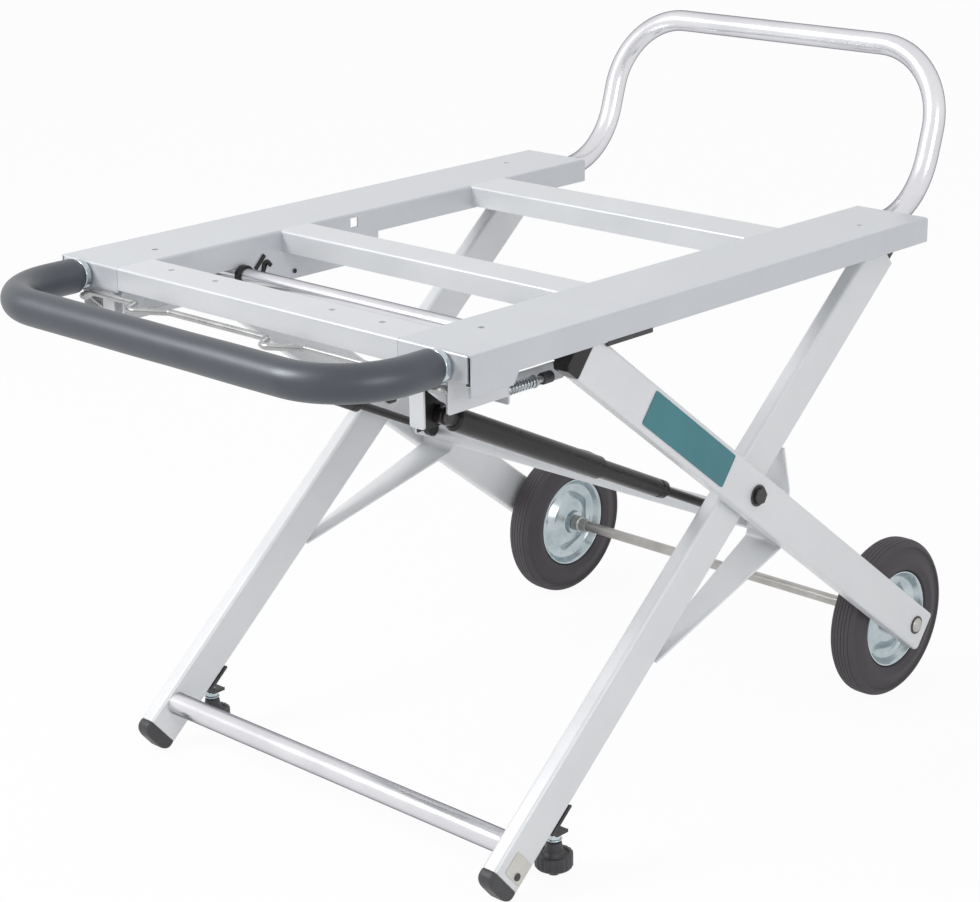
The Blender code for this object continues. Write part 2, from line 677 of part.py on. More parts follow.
def strap_line():
    """Middle line of a strap in the leg plane: from the leg out behind the strut tube and back to the leg."""
    along = Vector((math.cos(STRAP_BACK_ANGLE), math.sin(STRAP_BACK_ANGLE)))
    outward = Vector((-along.y, along.x))
    seat = Vector((STRUT_ALONG, STRUT_BEHIND)) + outward * (STRUT_RADIUS + GAP + STRAP_THICK / 2)
    edge = LEG_DEPTH / 2 + GAP + STRAP_THICK / 2
    back_low = seat - STRAP_BACK_LOW * along
    back_high = seat + STRAP_BACK_HIGH * along
    return [(-STRAP_LOWER, edge), back_low, back_high, (STRAP_UPPER, edge)]


def make_strap(side, tag):
    """Bent strap behind a front leg, wide behind the strut tube and narrow at its two ends."""
    line = strap_line()
    middle = leg_plane(side * (FRONT_LEG_OUTER - STRAP_WIDTH / 2))
    strap = plate(middle, STRAP_WIDTH, ribbon(line, STRAP_THICK))
    low, back_low, back_high, high = (point[0] for point in line)
    tip = FRONT_LEG_OUTER - STRAP_TIP_WIDTH
    wide = FRONT_LEG_OUTER - STRAP_WIDTH - STRAP_THICK
    over = 4 * STRAP_THICK
    trim = [(low - over, tip), (low, tip), (back_low - over, wide), (back_high, wide),
            (high - over / 2, tip), (high + over, tip), (high + over, HALF), (low - over, HALF)]
    above = plane(side_point(0, PIVOT), LEG_UP, ACROSS)
    keep = plate(above, 4 * STRUT_BEHIND, [(u, side * x) for u, x in trim])
    piece("strap_" + tag, combine(strap, "INTERSECT", keep), PAINT, FRONT_AXIS)


def make_front_leg(side, tag):
    """Front leg tube, its end cap and its foot bracket."""
    middle = side * FRONT_LEG_MIDDLE
    tube = leg_tube(middle, LEG_UP, LEG_BACK, -FRONT_LEG_LOWER, ARM - HINGE_BOSS_RADIUS - RUNNING)
    hole = pin(middle - LEG_THICK, middle + LEG_THICK, PIVOT, BOLT_RADIUS + RUNNING)
    piece("front_leg_" + tag, combine(tube, "DIFFERENCE", hole), PAINT, FRONT_AXIS)

    half = LEG_DEPTH / 2
    end = -FRONT_LEG_LOWER - GAP
    turn = end - CAP_LENGTH + CAP_ROUND
    head = [(end, -half), *arc((turn, CAP_ROUND - half), CAP_ROUND, 270, 180, 5),
            *arc((turn, half - CAP_ROUND), CAP_ROUND, 180, 90, 5), (end, half)]
    inside = half - LEG_WALL - GAP
    plug = rectangle(end - LEG_WALL, -inside, end + CAP_PLUG, inside)
    cap = combine(plate(leg_plane(middle), LEG_THICK, head), "UNION",
                  plate(leg_plane(middle), TONGUE_OUTER - TONGUE_INNER, plug))
    piece("end_cap_" + tag, cap, PLASTIC, FRONT_AXIS)

    flange = BRACKET_BEND + BRACKET_FLANGE * LEG_UP
    line = [pair(flange), pair(BRACKET_BEND), (FOOT_SETBACK + SHELF_END, BRACKET_SHELF)]
    bracket = plate(side_plane(middle), LEG_THICK - BRACKET_INSET, ribbon(line, BRACKET_SHEET))
    nut_low = SHELF_HEIGHT - NUT_HEIGHT - TABLE_HEIGHT
    nut_height = NUT_HEIGHT + BRACKET_SHEET / 2
    nut = plate(plane(at(middle, FOOT_SETBACK, nut_low + nut_height / 2), ACROSS, BACK), nut_height,
                circle((0, 0), NUT_RADIUS, 6))
    hole = plate(plane(at(middle, FOOT_SETBACK, BRACKET_SHELF), ACROSS, BACK), 4 * NUT_HEIGHT,
                 circle((0, 0), STEM_RADIUS + RUNNING, 12))
    bracket = combine(combine(bracket, "UNION", nut), "DIFFERENCE", hole)
    piece("foot_bracket_" + tag, bracket, DARK_STEEL, FRONT_AXIS)


def make_leg_tubes():
    """Strut tube with its spring lugs, and the cross tube near the floor."""
    strut = ring(-FRONT_LEG_OUTER, FRONT_LEG_OUTER, STRUT, STRUT_RADIUS, STRUT_RADIUS - LEG_WALL)
    for side, _ in SIDES:
        start = SPRING_X + EYE_THICK / 2 + GAP
        ear = capsule(pair(STRUT), pair(SPRING_REAR), EYE_RADIUS)
        lug = plate(side_plane(side * (start + LUG_THICK / 2)), LUG_THICK, ear)
        inside = STRUT_RADIUS - LEG_WALL / 2
        notch = pin(side * (start - LUG_THICK), side * (start + 2 * LUG_THICK), STRUT, inside)
        strut = combine(strut, "UNION", combine(lug, "DIFFERENCE", notch))
    piece("strut_tube", strut, PAINT, FRONT_AXIS)
    low = PIVOT - FOOT_TUBE_ALONG * LEG_UP - FOOT_TUBE_FORWARD * LEG_BACK
    reach = FRONT_LEG_INNER - GAP
    tube = ring(-reach, reach, low, FOOT_TUBE_RADIUS, FOOT_TUBE_RADIUS - LEG_WALL)
    piece("foot_tube", tube, SATIN, FRONT_AXIS)


def make_foot(side, tag):
    """Screw foot: a threaded stem and a knob that stands on the floor."""
    x = side * FRONT_LEG_MIDDLE
    floor = -TABLE_HEIGHT
    bottom = at(x, FOOT_SETBACK, floor + KNOB_SEAT + GAP)
    top = at(x, FOOT_SETBACK, floor + SHELF_HEIGHT + BRACKET_SHEET + STEM_ABOVE)
    piece("foot_stem_" + tag, bent_tube([bottom, top], STEM_RADIUS, 2), ZINC, FOOT_AXIS[tag])
    r = KNOB_RADIUS
    collar = 2 * STEM_RADIUS
    bore = STEM_RADIUS + GAP
    profile = [(0, KNOB_SEAT), (bore, KNOB_SEAT), (bore, KNOB_HEIGHT), (collar, KNOB_HEIGHT),
               (1.3 * collar, 0.8 * KNOB_HEIGHT), (0.85 * r, 0.75 * KNOB_HEIGHT), (r, 0.6 * KNOB_HEIGHT),
               (r, 0.3 * KNOB_HEIGHT), (0.9 * r, 0.17 * KNOB_HEIGHT), (0.85 * r, 0), (0, 0)]
    knob = turned(profile, Matrix.Translation(at(x, FOOT_SETBACK, floor)), ROUND)
    piece("foot_knob_" + tag, knob, RUBBER, KNOB_AXIS[tag])


def make_wheel_leg(side, tag):
    """Wheel leg tube with its slider block and bush, main pivot bolt and wheel spacer."""
    middle = side * WHEEL_LEG_MIDDLE
    top = ARM + WHEEL_LEG_END_GAP
    tube = leg_tube(middle, ARM_UP, ARM_TOP, -AXLE_REACH - WHEEL_LEG_OVERHANG, top)
    pivot_hole = pin(middle - LEG_THICK, middle + LEG_THICK, PIVOT, BOLT_RADIUS + GAP)
    axle_hole = pin(middle - LEG_THICK, middle + LEG_THICK, AXLE, AXLE_RADIUS + GAP)
    piece("wheel_leg_" + tag, combine(tube, "DIFFERENCE", pivot_hole, axle_hole), PAINT, ARM_AXIS)

    half = LEG_DEPTH / 2
    start = top + GAP
    tip = start + SLIDER_BLOCK_HEAD
    step = SLIDER_BLOCK_STEP
    inside = half - LEG_WALL - GAP
    head = [(start, -half), (tip - step, -half), (tip, step - half), (tip, half - 2 * step),
            (tip - step, half - step), (start, half - step)]
    plug = rectangle(start - SLIDER_BLOCK_PLUG, -inside, start + step, inside - step)
    block = combine(plate(arm_plane(middle), LEG_THICK, head), "UNION",
                    plate(arm_plane(middle), TONGUE_OUTER - TONGUE_INNER, plug))
    piece("slider_block_" + tag, block, PLASTIC, ARM_AXIS)
    end = RAIL_INNER - GAP
    bore = SLIDER_TUBE_RADIUS + GAP
    bush = ring(side * (end - SLIDER_BUSH_LENGTH), side * end, SLIDER, SLIDER_BUSH_RADIUS, bore)
    piece("slider_bush_" + tag, bush, PLASTIC, ARM_AXIS)

    outer = WHEEL_LEG_OUTER + GAP
    inner = FRONT_LEG_INNER - RUNNING
    head = pin(side * outer, side * (outer + BOLT_HEAD_HEIGHT), PIVOT, BOLT_HEAD_RADIUS, 6)
    nut = pin(side * inner, side * (inner - BOLT_HEAD_HEIGHT), PIVOT, BOLT_HEAD_RADIUS, 6)
    inside = BOLT_HEAD_HEIGHT / 2
    shank = pin(side * (inner - inside), side * (outer + inside), PIVOT, BOLT_RADIUS)
    piece("pivot_bolt_" + tag, combine(shank, "UNION", head, nut), DARK_STEEL, ARM_AXIS)
    end = WHEEL_OUTER - WHEEL_WIDTH - RUNNING
    spacer = ring(side * (end - SPACER_LENGTH), side * end, AXLE, SPACER_RADIUS, AXLE_RADIUS + GAP)
    piece("wheel_spacer_" + tag, spacer, DARK_STEEL, ARM_AXIS)


def make_leg_bars():
    """Axle with its head and nut, slider tube, and the plain plate on the right wheel leg."""
    outer = WHEEL_LEG_OUTER + GAP
    end = outer + AXLE_HEAD_HEIGHT
    axle = pin(-outer - AXLE_HEAD_HEIGHT / 2, end, AXLE, AXLE_RADIUS)
    head = pin(-outer, -end, AXLE, AXLE_HEAD_RADIUS, 6)
    piece("axle", combine(axle, "UNION", head), STEEL, ARM_AXIS)
    middle = side_plane(outer + AXLE_HEAD_HEIGHT / 2)
    nut = plate(middle, AXLE_HEAD_HEIGHT, circle(pair(AXLE), AXLE_HEAD_RADIUS, 6),
                circle(pair(AXLE), AXLE_RADIUS + GAP))
    piece("axle_nut", nut, STEEL, ARM_AXIS)
    reach = WHEEL_LEG_INNER - GAP
    tube = ring(-reach, reach, SLIDER, SLIDER_TUBE_RADIUS, SLIDER_TUBE_RADIUS - LEG_WALL)
    piece("slider_tube", tube, SATIN, ARM_AXIS)
    top = ARM - PLATE_INSET
    outline = rectangle(top - PLATE_LENGTH, -PLATE_DEPTH / 2, top, PLATE_DEPTH / 2)
    piece("side_plate", plate(arm_plane(outer + PLATE_THICK / 2), PLATE_THICK, outline), TEAL, ARM_AXIS)


def make_wheel(side, tag):
    """Solid tyre on a dished hub, both turned about the axle with the outer side up."""
    half = WHEEL_WIDTH / 2
    r = WHEEL_RADIUS
    shoulder = WHEEL_WIDTH / 6
    wall = (r - RIM_RADIUS) / 4
    centre = Matrix.Translation(side_point(side * WHEEL_MIDDLE, AXLE))
    frame = centre @ Matrix.Rotation(side * math.pi / 2, 4, "Y")
    outline = [(RIM_RADIUS + GAP, half - shoulder), (RIM_RADIUS + wall, half),
               (r - wall, half - shoulder / 3), (r - wall / 3, half - shoulder), (r, half - 2 * shoulder)]
    outline += [(radius, -height) for radius, height in reversed(outline)]
    piece("tyre_" + tag, turned(outline, frame), RUBBER, WHEEL_AXIS[tag])

    lip = half - shoulder
    web = HUB_WEB / 2
    boss = HUB_BOSS_RADIUS
    reach = RIM_RADIUS - boss
    dish = [(boss, half), (boss + 0.2 * reach, web), (boss + 0.55 * reach, 1.6 * web),
            (boss + 0.85 * reach, web), (RIM_RADIUS - LEG_WALL, lip), (RIM_RADIUS, lip)]
    bore = AXLE_RADIUS + RUNNING
    long_boss = half + WHEEL_SPACE - RUNNING
    outline = [(bore, long_boss), (boss, long_boss), *dish[1:]]
    outline += [(radius, -height) for radius, height in reversed(dish)] + [(bore, -half)]
    piece("hub_" + tag, turned(outline, frame), ZINC, WHEEL_AXIS[tag])


def make_gas_spring(side, tag):
    """Gas spring: a barrel with its eye, and a rod with its own eye that slides in the barrel's bore."""
    x = side * SPRING_X
    front = side_point(x, SPRING_FRONT)
    frame = Matrix.Translation(front) @ SPRING_LINE.to_track_quat("Z", "Y").to_matrix().to_4x4()
    rod_start = CYLINDER_END - ROD_OVERLAP
    bore_end = rod_start - (SPRING_LENGTH - SPRING_FOLDED) - EYE_NECK
    bore = ROD_RADIUS + RUNNING
    start = EYE_RADIUS + EYE_NECK
    r = CYLINDER_RADIUS
    edge = CYLINDER_RADIUS - ROD_RADIUS
    neck_end = EYE_RADIUS - EYE_NECK / 5
    profile = [(0, bore_end), (bore, bore_end), (bore, CYLINDER_END), (r - edge / 3, CYLINDER_END),
               (r, CYLINDER_END - edge / 2), (r, start + edge / 2), (r - edge / 2, start),
               (EYE_NECK_RADIUS, start), (EYE_NECK_RADIUS, neck_end), (0, neck_end)]
    eye = ring(x - EYE_THICK / 2, x + EYE_THICK / 2, SPRING_FRONT, EYE_RADIUS, STUD_RADIUS + RUNNING)
    barrel = combine(turned(profile, frame, ROUND), "UNION", eye)
    piece("gas_cylinder_" + tag, barrel, BLACK, CYLINDER_AXIS[tag])
    points = [front + rod_start * SPRING_LINE, front + (SPRING_LENGTH - EYE_RADIUS / 2) * SPRING_LINE]
    eye = pin(x - EYE_THICK / 2, x + EYE_THICK / 2, SPRING_REAR, EYE_RADIUS)
    piece("gas_rod_" + tag, combine(bent_tube(points, ROD_RADIUS), "UNION", eye), BLACK, ROD_AXIS[tag])


def facing_front(x, y):
    """Drawing plane square to Y, at a latch wire."""
    return plane(at(x, y, LATCH_Z), ACROSS, UP)


def make_release():
    """Release bar with its finger hooks and collars, the latch tips and the springs that hold it back."""
    x = FRONT_HANDLE_X
    y = -BAR_FORWARD
    arm = [at(x, LATCH_END, LATCH_Z), at(x, y, LATCH_Z), at(x - BAR_SHOULDER, y, -BAR_DROP)]
    corners = list(arm)
    bends = [BAR_BEND, BAR_BEND]
    for place in sorted(HOOK_PLACES, reverse=True):
        for offset, reach in ((HOOK_RIGHT, 0.0), (0.0, HOOK_REACH), (-HOOK_LEFT, 0.0)):
            corners.append(at(place + offset, y - reach, -BAR_DROP))
            bends.append(HOOK_BEND)
    corners += [Vector((-point.x, point.y, point.z)) for point in reversed(arm)]
    bends += [BAR_BEND, BAR_BEND]
    bar = bent_tube(rounded(corners, bends, 3), WIRE_RADIUS, 2)
    collar_y = COIL_START + COIL_LENGTH + GAP + LATCH_COLLAR / 2
    for side, tag in SIDES:
        rim = circle((0, 0), LATCH_COLLAR_RADIUS, 12)
        bar = combine(bar, "UNION", plate(facing_front(side * x, collar_y), LATCH_COLLAR, rim))
        tip = plate(facing_front(side * x, LATCH_END - LATCH_TIP_LENGTH / 2), LATCH_TIP_LENGTH,
                    circle((0, 0), LATCH_TIP_RADIUS, 12), circle((0, 0), WIRE_RADIUS + GAP, 12))
        piece("latch_tip_" + tag, tip, PLASTIC, RELEASE_AXIS)
        piece("latch_spring_" + tag, coil(side * x), ZINC, RELEASE_AXIS)
    piece("release_bar", bar, ZINC, RELEASE_AXIS)


def coil(x):
    """Latch spring as one unbroken wire round a latch arm, with its least gap to itself printed."""
    count = COIL_TURNS * COIL_POINTS
    start = COIL_START + COIL_WIRE + GAP
    length = COIL_LENGTH - 2 * COIL_WIRE - 2 * GAP
    points = []
    for step in range(count + 1):
        turn = 2 * math.pi * step / COIL_POINTS
        y = start + length * step / count
        points.append(at(x + COIL_RADIUS * math.cos(turn), y, LATCH_Z + COIL_RADIUS * math.sin(turn)))
    gaps = []
    for step, point in enumerate(points):
        gaps += [(point - other).length for other in points[step + COIL_POINTS // 2:]]
    print("latch spring, least gap between curls:", round((min(gaps) - 2 * COIL_WIRE) * 1000, 2), "mm")
    return bent_tube(points, COIL_WIRE, 1)


for old in list(bpy.data.objects):
    bpy.data.objects.remove(old, do_unlink=True)
STAND = collection("saw_stand")
CUTTERS = collection("cutters")
CUTTERS.hide_render = True

TABLE = axis_empty("table", at(0, 0, 0))
FRONT_AXIS = axis_empty("front_leg_axis", side_point(0, HINGE), TABLE)
ARM_AXIS = axis_empty("wheel_leg_axis", side_point(0, PIVOT), FRONT_AXIS)
RELEASE_AXIS = axis_empty("release_axis", at(0, -BAR_FORWARD, -BAR_DROP), TABLE)
WHEEL_AXIS = {}
CYLINDER_AXIS = {}
ROD_AXIS = {}
FOOT_AXIS = {}
KNOB_AXIS = {}
make_cross_members()
make_handles()
make_leg_tubes()
make_leg_bars()
make_release()
for SIDE, TAG in SIDES:
    FOOT = at(SIDE * FRONT_LEG_MIDDLE, FOOT_SETBACK, -TABLE_HEIGHT)
    EYE_FRONT = side_point(SIDE * SPRING_X, SPRING_FRONT)
    EYE_REAR = side_point(SIDE * SPRING_X, SPRING_REAR)
    WHEEL_AXIS[TAG] = axis_empty("wheel_axis_" + TAG, side_point(SIDE * WHEEL_MIDDLE, AXLE), ARM_AXIS)
    CYLINDER_AXIS[TAG] = axis_empty("cylinder_axis_" + TAG, EYE_FRONT, TABLE)
    ROD_AXIS[TAG] = axis_empty("rod_axis_" + TAG, EYE_REAR, CYLINDER_AXIS[TAG])
    FOOT_AXIS[TAG] = axis_empty("foot_axis_" + TAG, FOOT, FRONT_AXIS)
    KNOB_AXIS[TAG] = axis_empty("knob_axis_" + TAG, FOOT, FOOT_AXIS[TAG])
    make_rail(SIDE, TAG)
    make_hinge(SIDE, TAG)
    make_hanger(SIDE, TAG)
    make_strap(SIDE, TAG)
    make_front_leg(SIDE, TAG)
    make_foot(SIDE, TAG)
    make_wheel_leg(SIDE, TAG)
    make_wheel(SIDE, TAG)
    make_gas_spring(SIDE, TAG)
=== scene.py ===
"""Looks of the folding saw stand: finished surfaces, paint, floor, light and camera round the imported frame.

Metres, +Z up, +X to the right, the foam grip at -Y, the floor at z 0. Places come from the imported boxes
and joints. A place on the table is x across, y back from its front edge and z up from its top.
"""
import json
import math

import bmesh
import bpy
import numpy as np
from mathutils import Matrix, Vector


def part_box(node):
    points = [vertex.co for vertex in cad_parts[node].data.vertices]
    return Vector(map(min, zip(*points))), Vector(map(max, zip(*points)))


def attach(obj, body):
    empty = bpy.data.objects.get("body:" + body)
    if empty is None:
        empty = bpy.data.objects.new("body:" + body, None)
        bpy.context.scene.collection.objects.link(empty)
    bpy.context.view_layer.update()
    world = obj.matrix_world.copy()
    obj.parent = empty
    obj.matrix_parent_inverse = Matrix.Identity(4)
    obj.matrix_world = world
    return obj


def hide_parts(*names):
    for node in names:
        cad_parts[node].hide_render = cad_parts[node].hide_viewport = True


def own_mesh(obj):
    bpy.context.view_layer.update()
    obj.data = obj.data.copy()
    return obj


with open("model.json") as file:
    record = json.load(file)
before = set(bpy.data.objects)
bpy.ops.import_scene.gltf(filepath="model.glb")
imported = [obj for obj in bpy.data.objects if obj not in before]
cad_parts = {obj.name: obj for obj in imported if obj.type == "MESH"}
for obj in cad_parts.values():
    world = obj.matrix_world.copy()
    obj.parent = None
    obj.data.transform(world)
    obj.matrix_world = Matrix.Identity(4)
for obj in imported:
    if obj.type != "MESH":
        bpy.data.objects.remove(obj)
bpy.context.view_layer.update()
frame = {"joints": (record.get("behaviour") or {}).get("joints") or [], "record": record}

# Sheet and table
SHEET = 0.002
SHEET_BEND = 0.0022
SIDE_CUT = 4 * SHEET
TOP_CUT = 6 * SHEET
RAIL_DEPTH = 0.027
GUIDE_LENGTH = 0.373
END_TAB = 0.0038
END_SEAM = 0.0036
SLIT = 0.0042
SLIT_WIDTH = 0.0010
SLIT_START = 0.0009
# Width of the black plate behind the corner slit, painted shade seen through the slit
SLIT_SHADE_WIDTH = 0.0055
CORNER_LAP = 0.0031
SKIRT_DEPTH = 0.0395
SKIRT_END = 0.056
SKIRT_SLOPE = 0.008
# Black strip below the rail's outer flange: painted shadow under the flange's edge
SHADE_STRIP_SPAN = (0.188, 0.256)
SHADE_STRIP_SIZE = (0.0032, 0.0052)
SHADE_STRIP_CORNER = 0.0012
SHADE_STRIP_DROP = 0.0017
SLOT_HALF = 0.0095
WINDOW_PLACE = (0.336, -0.0106)
WINDOW_SIZE = (0.0115, 0.011)
WINDOW_CORNER = 0.0008
STOP_LINES = (((0.186, -0.036), (0.199, -0.023)),
              ((0.196, -0.042), (0.1985, -0.032), (0.203, -0.0305), (0.208, -0.036)))
STOP_WIDTH = 0.0036
STOP_HEIGHT = 0.0016
STOP_BEND = 0.0015
RIVET_PLACE = (0.243, -0.049)
RIVET_RADIUS = 0.0026
CROSS_DROP = 0.024
CROSS_MEMBERS = (("front", 0.0, 0.051), ("mid", 0.226, 0.046), ("rear", 0.528, 0.060))
HOLE_RADIUS = 0.0035
MEMBER_HOLES = (0.086, 0.155)
MEMBER_HOLE_Y = 0.031
RAIL_HOLE_INSET = 0.036
RAIL_HOLE_Y = 0.078

# Handles
TUBE_RADIUS = 0.0127
TUBE_WALL = 0.0016
TUBE_DROP = 0.015
FRONT_HANDLE_X = 0.262
FRONT_REACH = 0.122
FRONT_BEND = 0.078
FRONT_INSERT = 0.060
GRIP_RADIUS = 0.0187
GRIP_START = 0.0103
GRIP_SWELL = 0.00006
GRIP_WAVES = (23, 31)
GRIP_RIM = (0.0022, 0.0004)
GRIP_ROWS = 240
GRIP_COLUMNS = 56
COLLAR_LENGTH = 0.0072
COLLAR_WALL = 0.0032
COLLAR_CORNER = 0.0014
COLLAR_MIDDLE = 0.0146
REAR_HANDLE_X = 0.237
REAR_INSERT = 0.024
REAR_SETBACK = 0.071
REAR_RISE = 0.185
REAR_LEAN = math.radians(73.3)
REAR_BEND = 0.090

# Legs
LEG_DEPTH = 0.048
LEG_THICK = 0.020
LEG_WALL = 0.002
LEG_CORNER = 0.0048
WHEEL_LEG_OVERHANG = 0.024
WHEEL_LEG_TOP = 0.003
FRONT_LEG_TOP = 0.0094
LEG_END_HEIGHT = 0.0243
BOLT_RADIUS = 0.006
BOLT_HEAD_RADIUS = 0.0105
BOLT_HEAD = 0.006
BOLT_FLANGE = 0.0118
FLANGE_THICK = 0.0016
PIVOT_HEAD_RADIUS = 0.92 * BOLT_HEAD_RADIUS
PIVOT_HEAD_EDGE = 0.0009
HINGE_RIVET = (0.009, 0.0016)
TONGUE_RADIUS = 0.017
TONGUE_INSERT = 0.045
EAR_RADIUS = 0.018
EAR_PLATE = 0.004
EAR_BOSS = 0.003
EAR_CORNER = 0.002
EAR_COLLAR_WALL = 0.0026
EAR_COLLAR_MIDDLE = 0.0077
BLOCK_HEAD = 0.021
BLOCK_STEP = 0.004
BLOCK_CORNER = 0.0015
BLOCK_PLUG = 0.024
PLUG_LAP = 0.001
PLUG_CORNER = 0.002
BUSH = (0.0118, 0.0093, 0.007)
BUSH_SHIFT = 0.0040
SLIDER_RADIUS = 0.009
CAP_LENGTH = 0.0149
CAP_RIM = 0.0012
CAP_ROWS = 12
CAP_DOME = 0.005
CAP_TURN = 0.985
CAP_NARROW = 0.30
CAP_SHORT = 0.62
CAP_STEP = 0.97
CAP_PLUG = 0.018
AXLE_RADIUS = 0.0065
AXLE_HEAD = 0.0042
AXLE_DOME = ((0.0085, 0), (0.0085, 0.0008), (0.0075, 0.0022), (0.0045, AXLE_HEAD), (0, AXLE_HEAD))
AXLE_DOME_BENDS = (0.0003, 0.0004, 0.002)
NUT_SEAT = (0.0108, 0.0010)
SPACER = ((0.0067, -0.5), (0.0100, -0.5), (0.0100, -0.05), (0.0086, 0.0), (0.0086, 0.5), (0.0067, 0.5))
PLATE_START = 0.1115
PLATE_SIZE = (0.164, 0.037)
PLATE_CORNER = 0.0022
PLATE_THICK = 0.0008
PLATE_EDGE = 0.0003

# Straps, strut and gas springs
STRUT_ALONG = 0.013
STRUT_BEHIND = 0.088
STRUT_RADIUS = 0.011
STRAP_LOWER = 0.204
STRAP_UPPER = 0.075
STRAP_ANGLE = math.radians(-41.1)
STRAP_LOW = 0.0232
STRAP_HIGH = 0.0392
STRAP_THICK = 0.003
STRAP_WIDTH = 0.050
STRAP_TIP = 0.018
STRAP_BEND = 0.010
STRAP_WIDEN = (0, -0.012, 0, -0.006)
SPRING_X = 0.231
EYE_RADIUS = 0.009
EYE_BORE = 0.0044
EYE_THICK = 0.010
EYE_CORNER = 0.0015
LUG_REACH = 0.024
LUG_THICK = 0.004
CYLINDER_RADIUS = 0.0098
CYLINDER_WIDE = 0.0120
CYLINDER_CRIMP = CYLINDER_RADIUS - 0.0008
CYLINDER_START = EYE_RADIUS + 0.005
CYLINDER_STEP = 0.245
CYLINDER_END = 0.365
BARREL = ((0.0080, 0.005), (0.0080, CYLINDER_START), (0.0090, CYLINDER_START),
          (CYLINDER_WIDE, CYLINDER_START + 0.0025), (CYLINDER_WIDE, CYLINDER_STEP),
          (CYLINDER_RADIUS, CYLINDER_STEP + 0.003), (CYLINDER_RADIUS, CYLINDER_END - 0.016),
          (CYLINDER_CRIMP, CYLINDER_END - 0.0145), (CYLINDER_CRIMP, CYLINDER_END - 0.013),
          (CYLINDER_RADIUS, CYLINDER_END - 0.0115), (CYLINDER_RADIUS, CYLINDER_END - 0.0035),
          (CYLINDER_RADIUS - 0.0025, CYLINDER_END), (0.0056, CYLINDER_END), (0.0056, CYLINDER_END - 0.01))
ROD_RADIUS = 0.005
ROD_INSERT = 0.030
STUD_RADIUS = 0.004
STUD_SHIFT = 0.0005
STUD_LAP = 0.007
STUD_HEAD = (0.007, 0.003)
STUD_HEAD_SEAT = 0.0019
HANGER_SHEET = 0.0025
# Thickness of the black sheet of painted shade on the hanger cheek
SHADE_SHEET_THICK = 0.0008
HANGER_WIDTH = 0.024
HANGER_DEPTH = 0.020
HANGER_EAR = 0.012
CHEEK_TURN = 75
HANGER_TAB = 0.062
HANGER_CORNER = 0.003
FACE_SHIFT = 0.006
FACE_TRIM = 0.005
STRIP_START = 0.023
STRIP_ARM = 0.008
STRIP_LENGTH = 0.185
STRIP_TOP = -0.0524
STRIP_HEIGHT = 0.019
STRIP_BEND = 0.002
GUIDE_OVERHANG = 0.0065
GUIDE_RISE = 0.006
GUIDE_CORNER = 0.002
COVER_TOP = -0.0525
COVER_LOW = -0.0628
COVER_HIGH = -0.0284
COVER_START = 0.0025
COVER_STEP = 0.029
COVER_CORNER = 0.0015

# Wheels
TREAD_GROOVES = (-0.0108, -0.0065, -0.0022, 0.0022, 0.0065, 0.0108)
GROOVE_DEPTH = 0.0008
GROOVE_HALF = 0.0006
TYRE_RADIUS = 0.0955
TREAD_HALF = 0.0138
TREAD_FALL = 0.0042
TREAD_ROWS = 160
TYRE_WALL = ((0.0913, TREAD_HALF), (0.0898, 0.0154), (0.0872, 0.0160), (0.0856, 0.0138), (0.0825, 0.0142),
             (0.0690, 0.0188), (0.0600, 0.0160), (0.0583, 0.0127))
TYRE_BENDS = (0.0008, 0.0007, 0.0006, 0.001, 0.008, 0.002)
RIM_RADIUS = 0.058
HUB_BORE = 0.0064
HUB_BOSS = 0.014
HUB_HALF = 0.019
HUB_LONG_HALF = HUB_HALF + 0.0031
HUB_RIM = 0.001
HUB_REACH = RIM_RADIUS - HUB_BOSS
HUB_WAIST = 0.60
HUB_DISH = ((HUB_BOSS, HUB_HALF), (HUB_BOSS + HUB_RIM, 0.0130), (HUB_BOSS + 0.34 * HUB_REACH, 0.0090),
            (HUB_BOSS + HUB_WAIST * HUB_REACH, 0.0028), (HUB_BOSS + 0.82 * HUB_REACH, 0.0030),
            (RIM_RADIUS - 0.0034, 0.0120), (RIM_RADIUS - 0.0020, 0.0142), (RIM_RADIUS - 0.0005, 0.0142),
            (RIM_RADIUS, 0.0127))
HUB_BENDS = (0.002, 0.014, 0.012, 0.006, 0.003, 0.0006, 0.0004)
HUB_POCKETS = 5
HUB_POCKET_DEPTH = 0.0026
HUB_POCKET_SPREAD = 0.17

# Release wire and latches
WIRE_RADIUS = 0.0035
WIRE_FORWARD = 0.0055
WIRE_DROP = 0.031
WIRE_LOW_DROP = 0.0379
WIRE_LOW = (0.2535, 0.2425)
WIRE_DIP_START = 0.004
WIRE_DIP_END = 0.027
WIRE_BEND = 0.008
HOOK_PLACES = (-0.157, 0.046)
HOOK_CORNERS = ((0.040, 0.0, 0.006), (0.0, 0.025, 0.010), (-0.012, 0.0, 0.012))
LATCH_END = 0.150
LATCH_TIP = ((0.0038, -0.007), (0.006, -0.007), (0.006, 0.0055), (0.0045, 0.0072), (0, 0.0072))
WIRE_COLLAR = (0.0065, 0.0025)
COIL_RADIUS = 0.0052
COIL_WIRE = 0.00065
COIL_TURNS = 8
COIL_FLAT_TURNS = 2
COIL_STEPS = 24
COIL_RUN = (0, 0.1, 0.9, 1.0)
COIL_RISE = (0.0, 0.035, 0.965, 1.0)
COIL_START = 0.085
COIL_LENGTH = 0.038

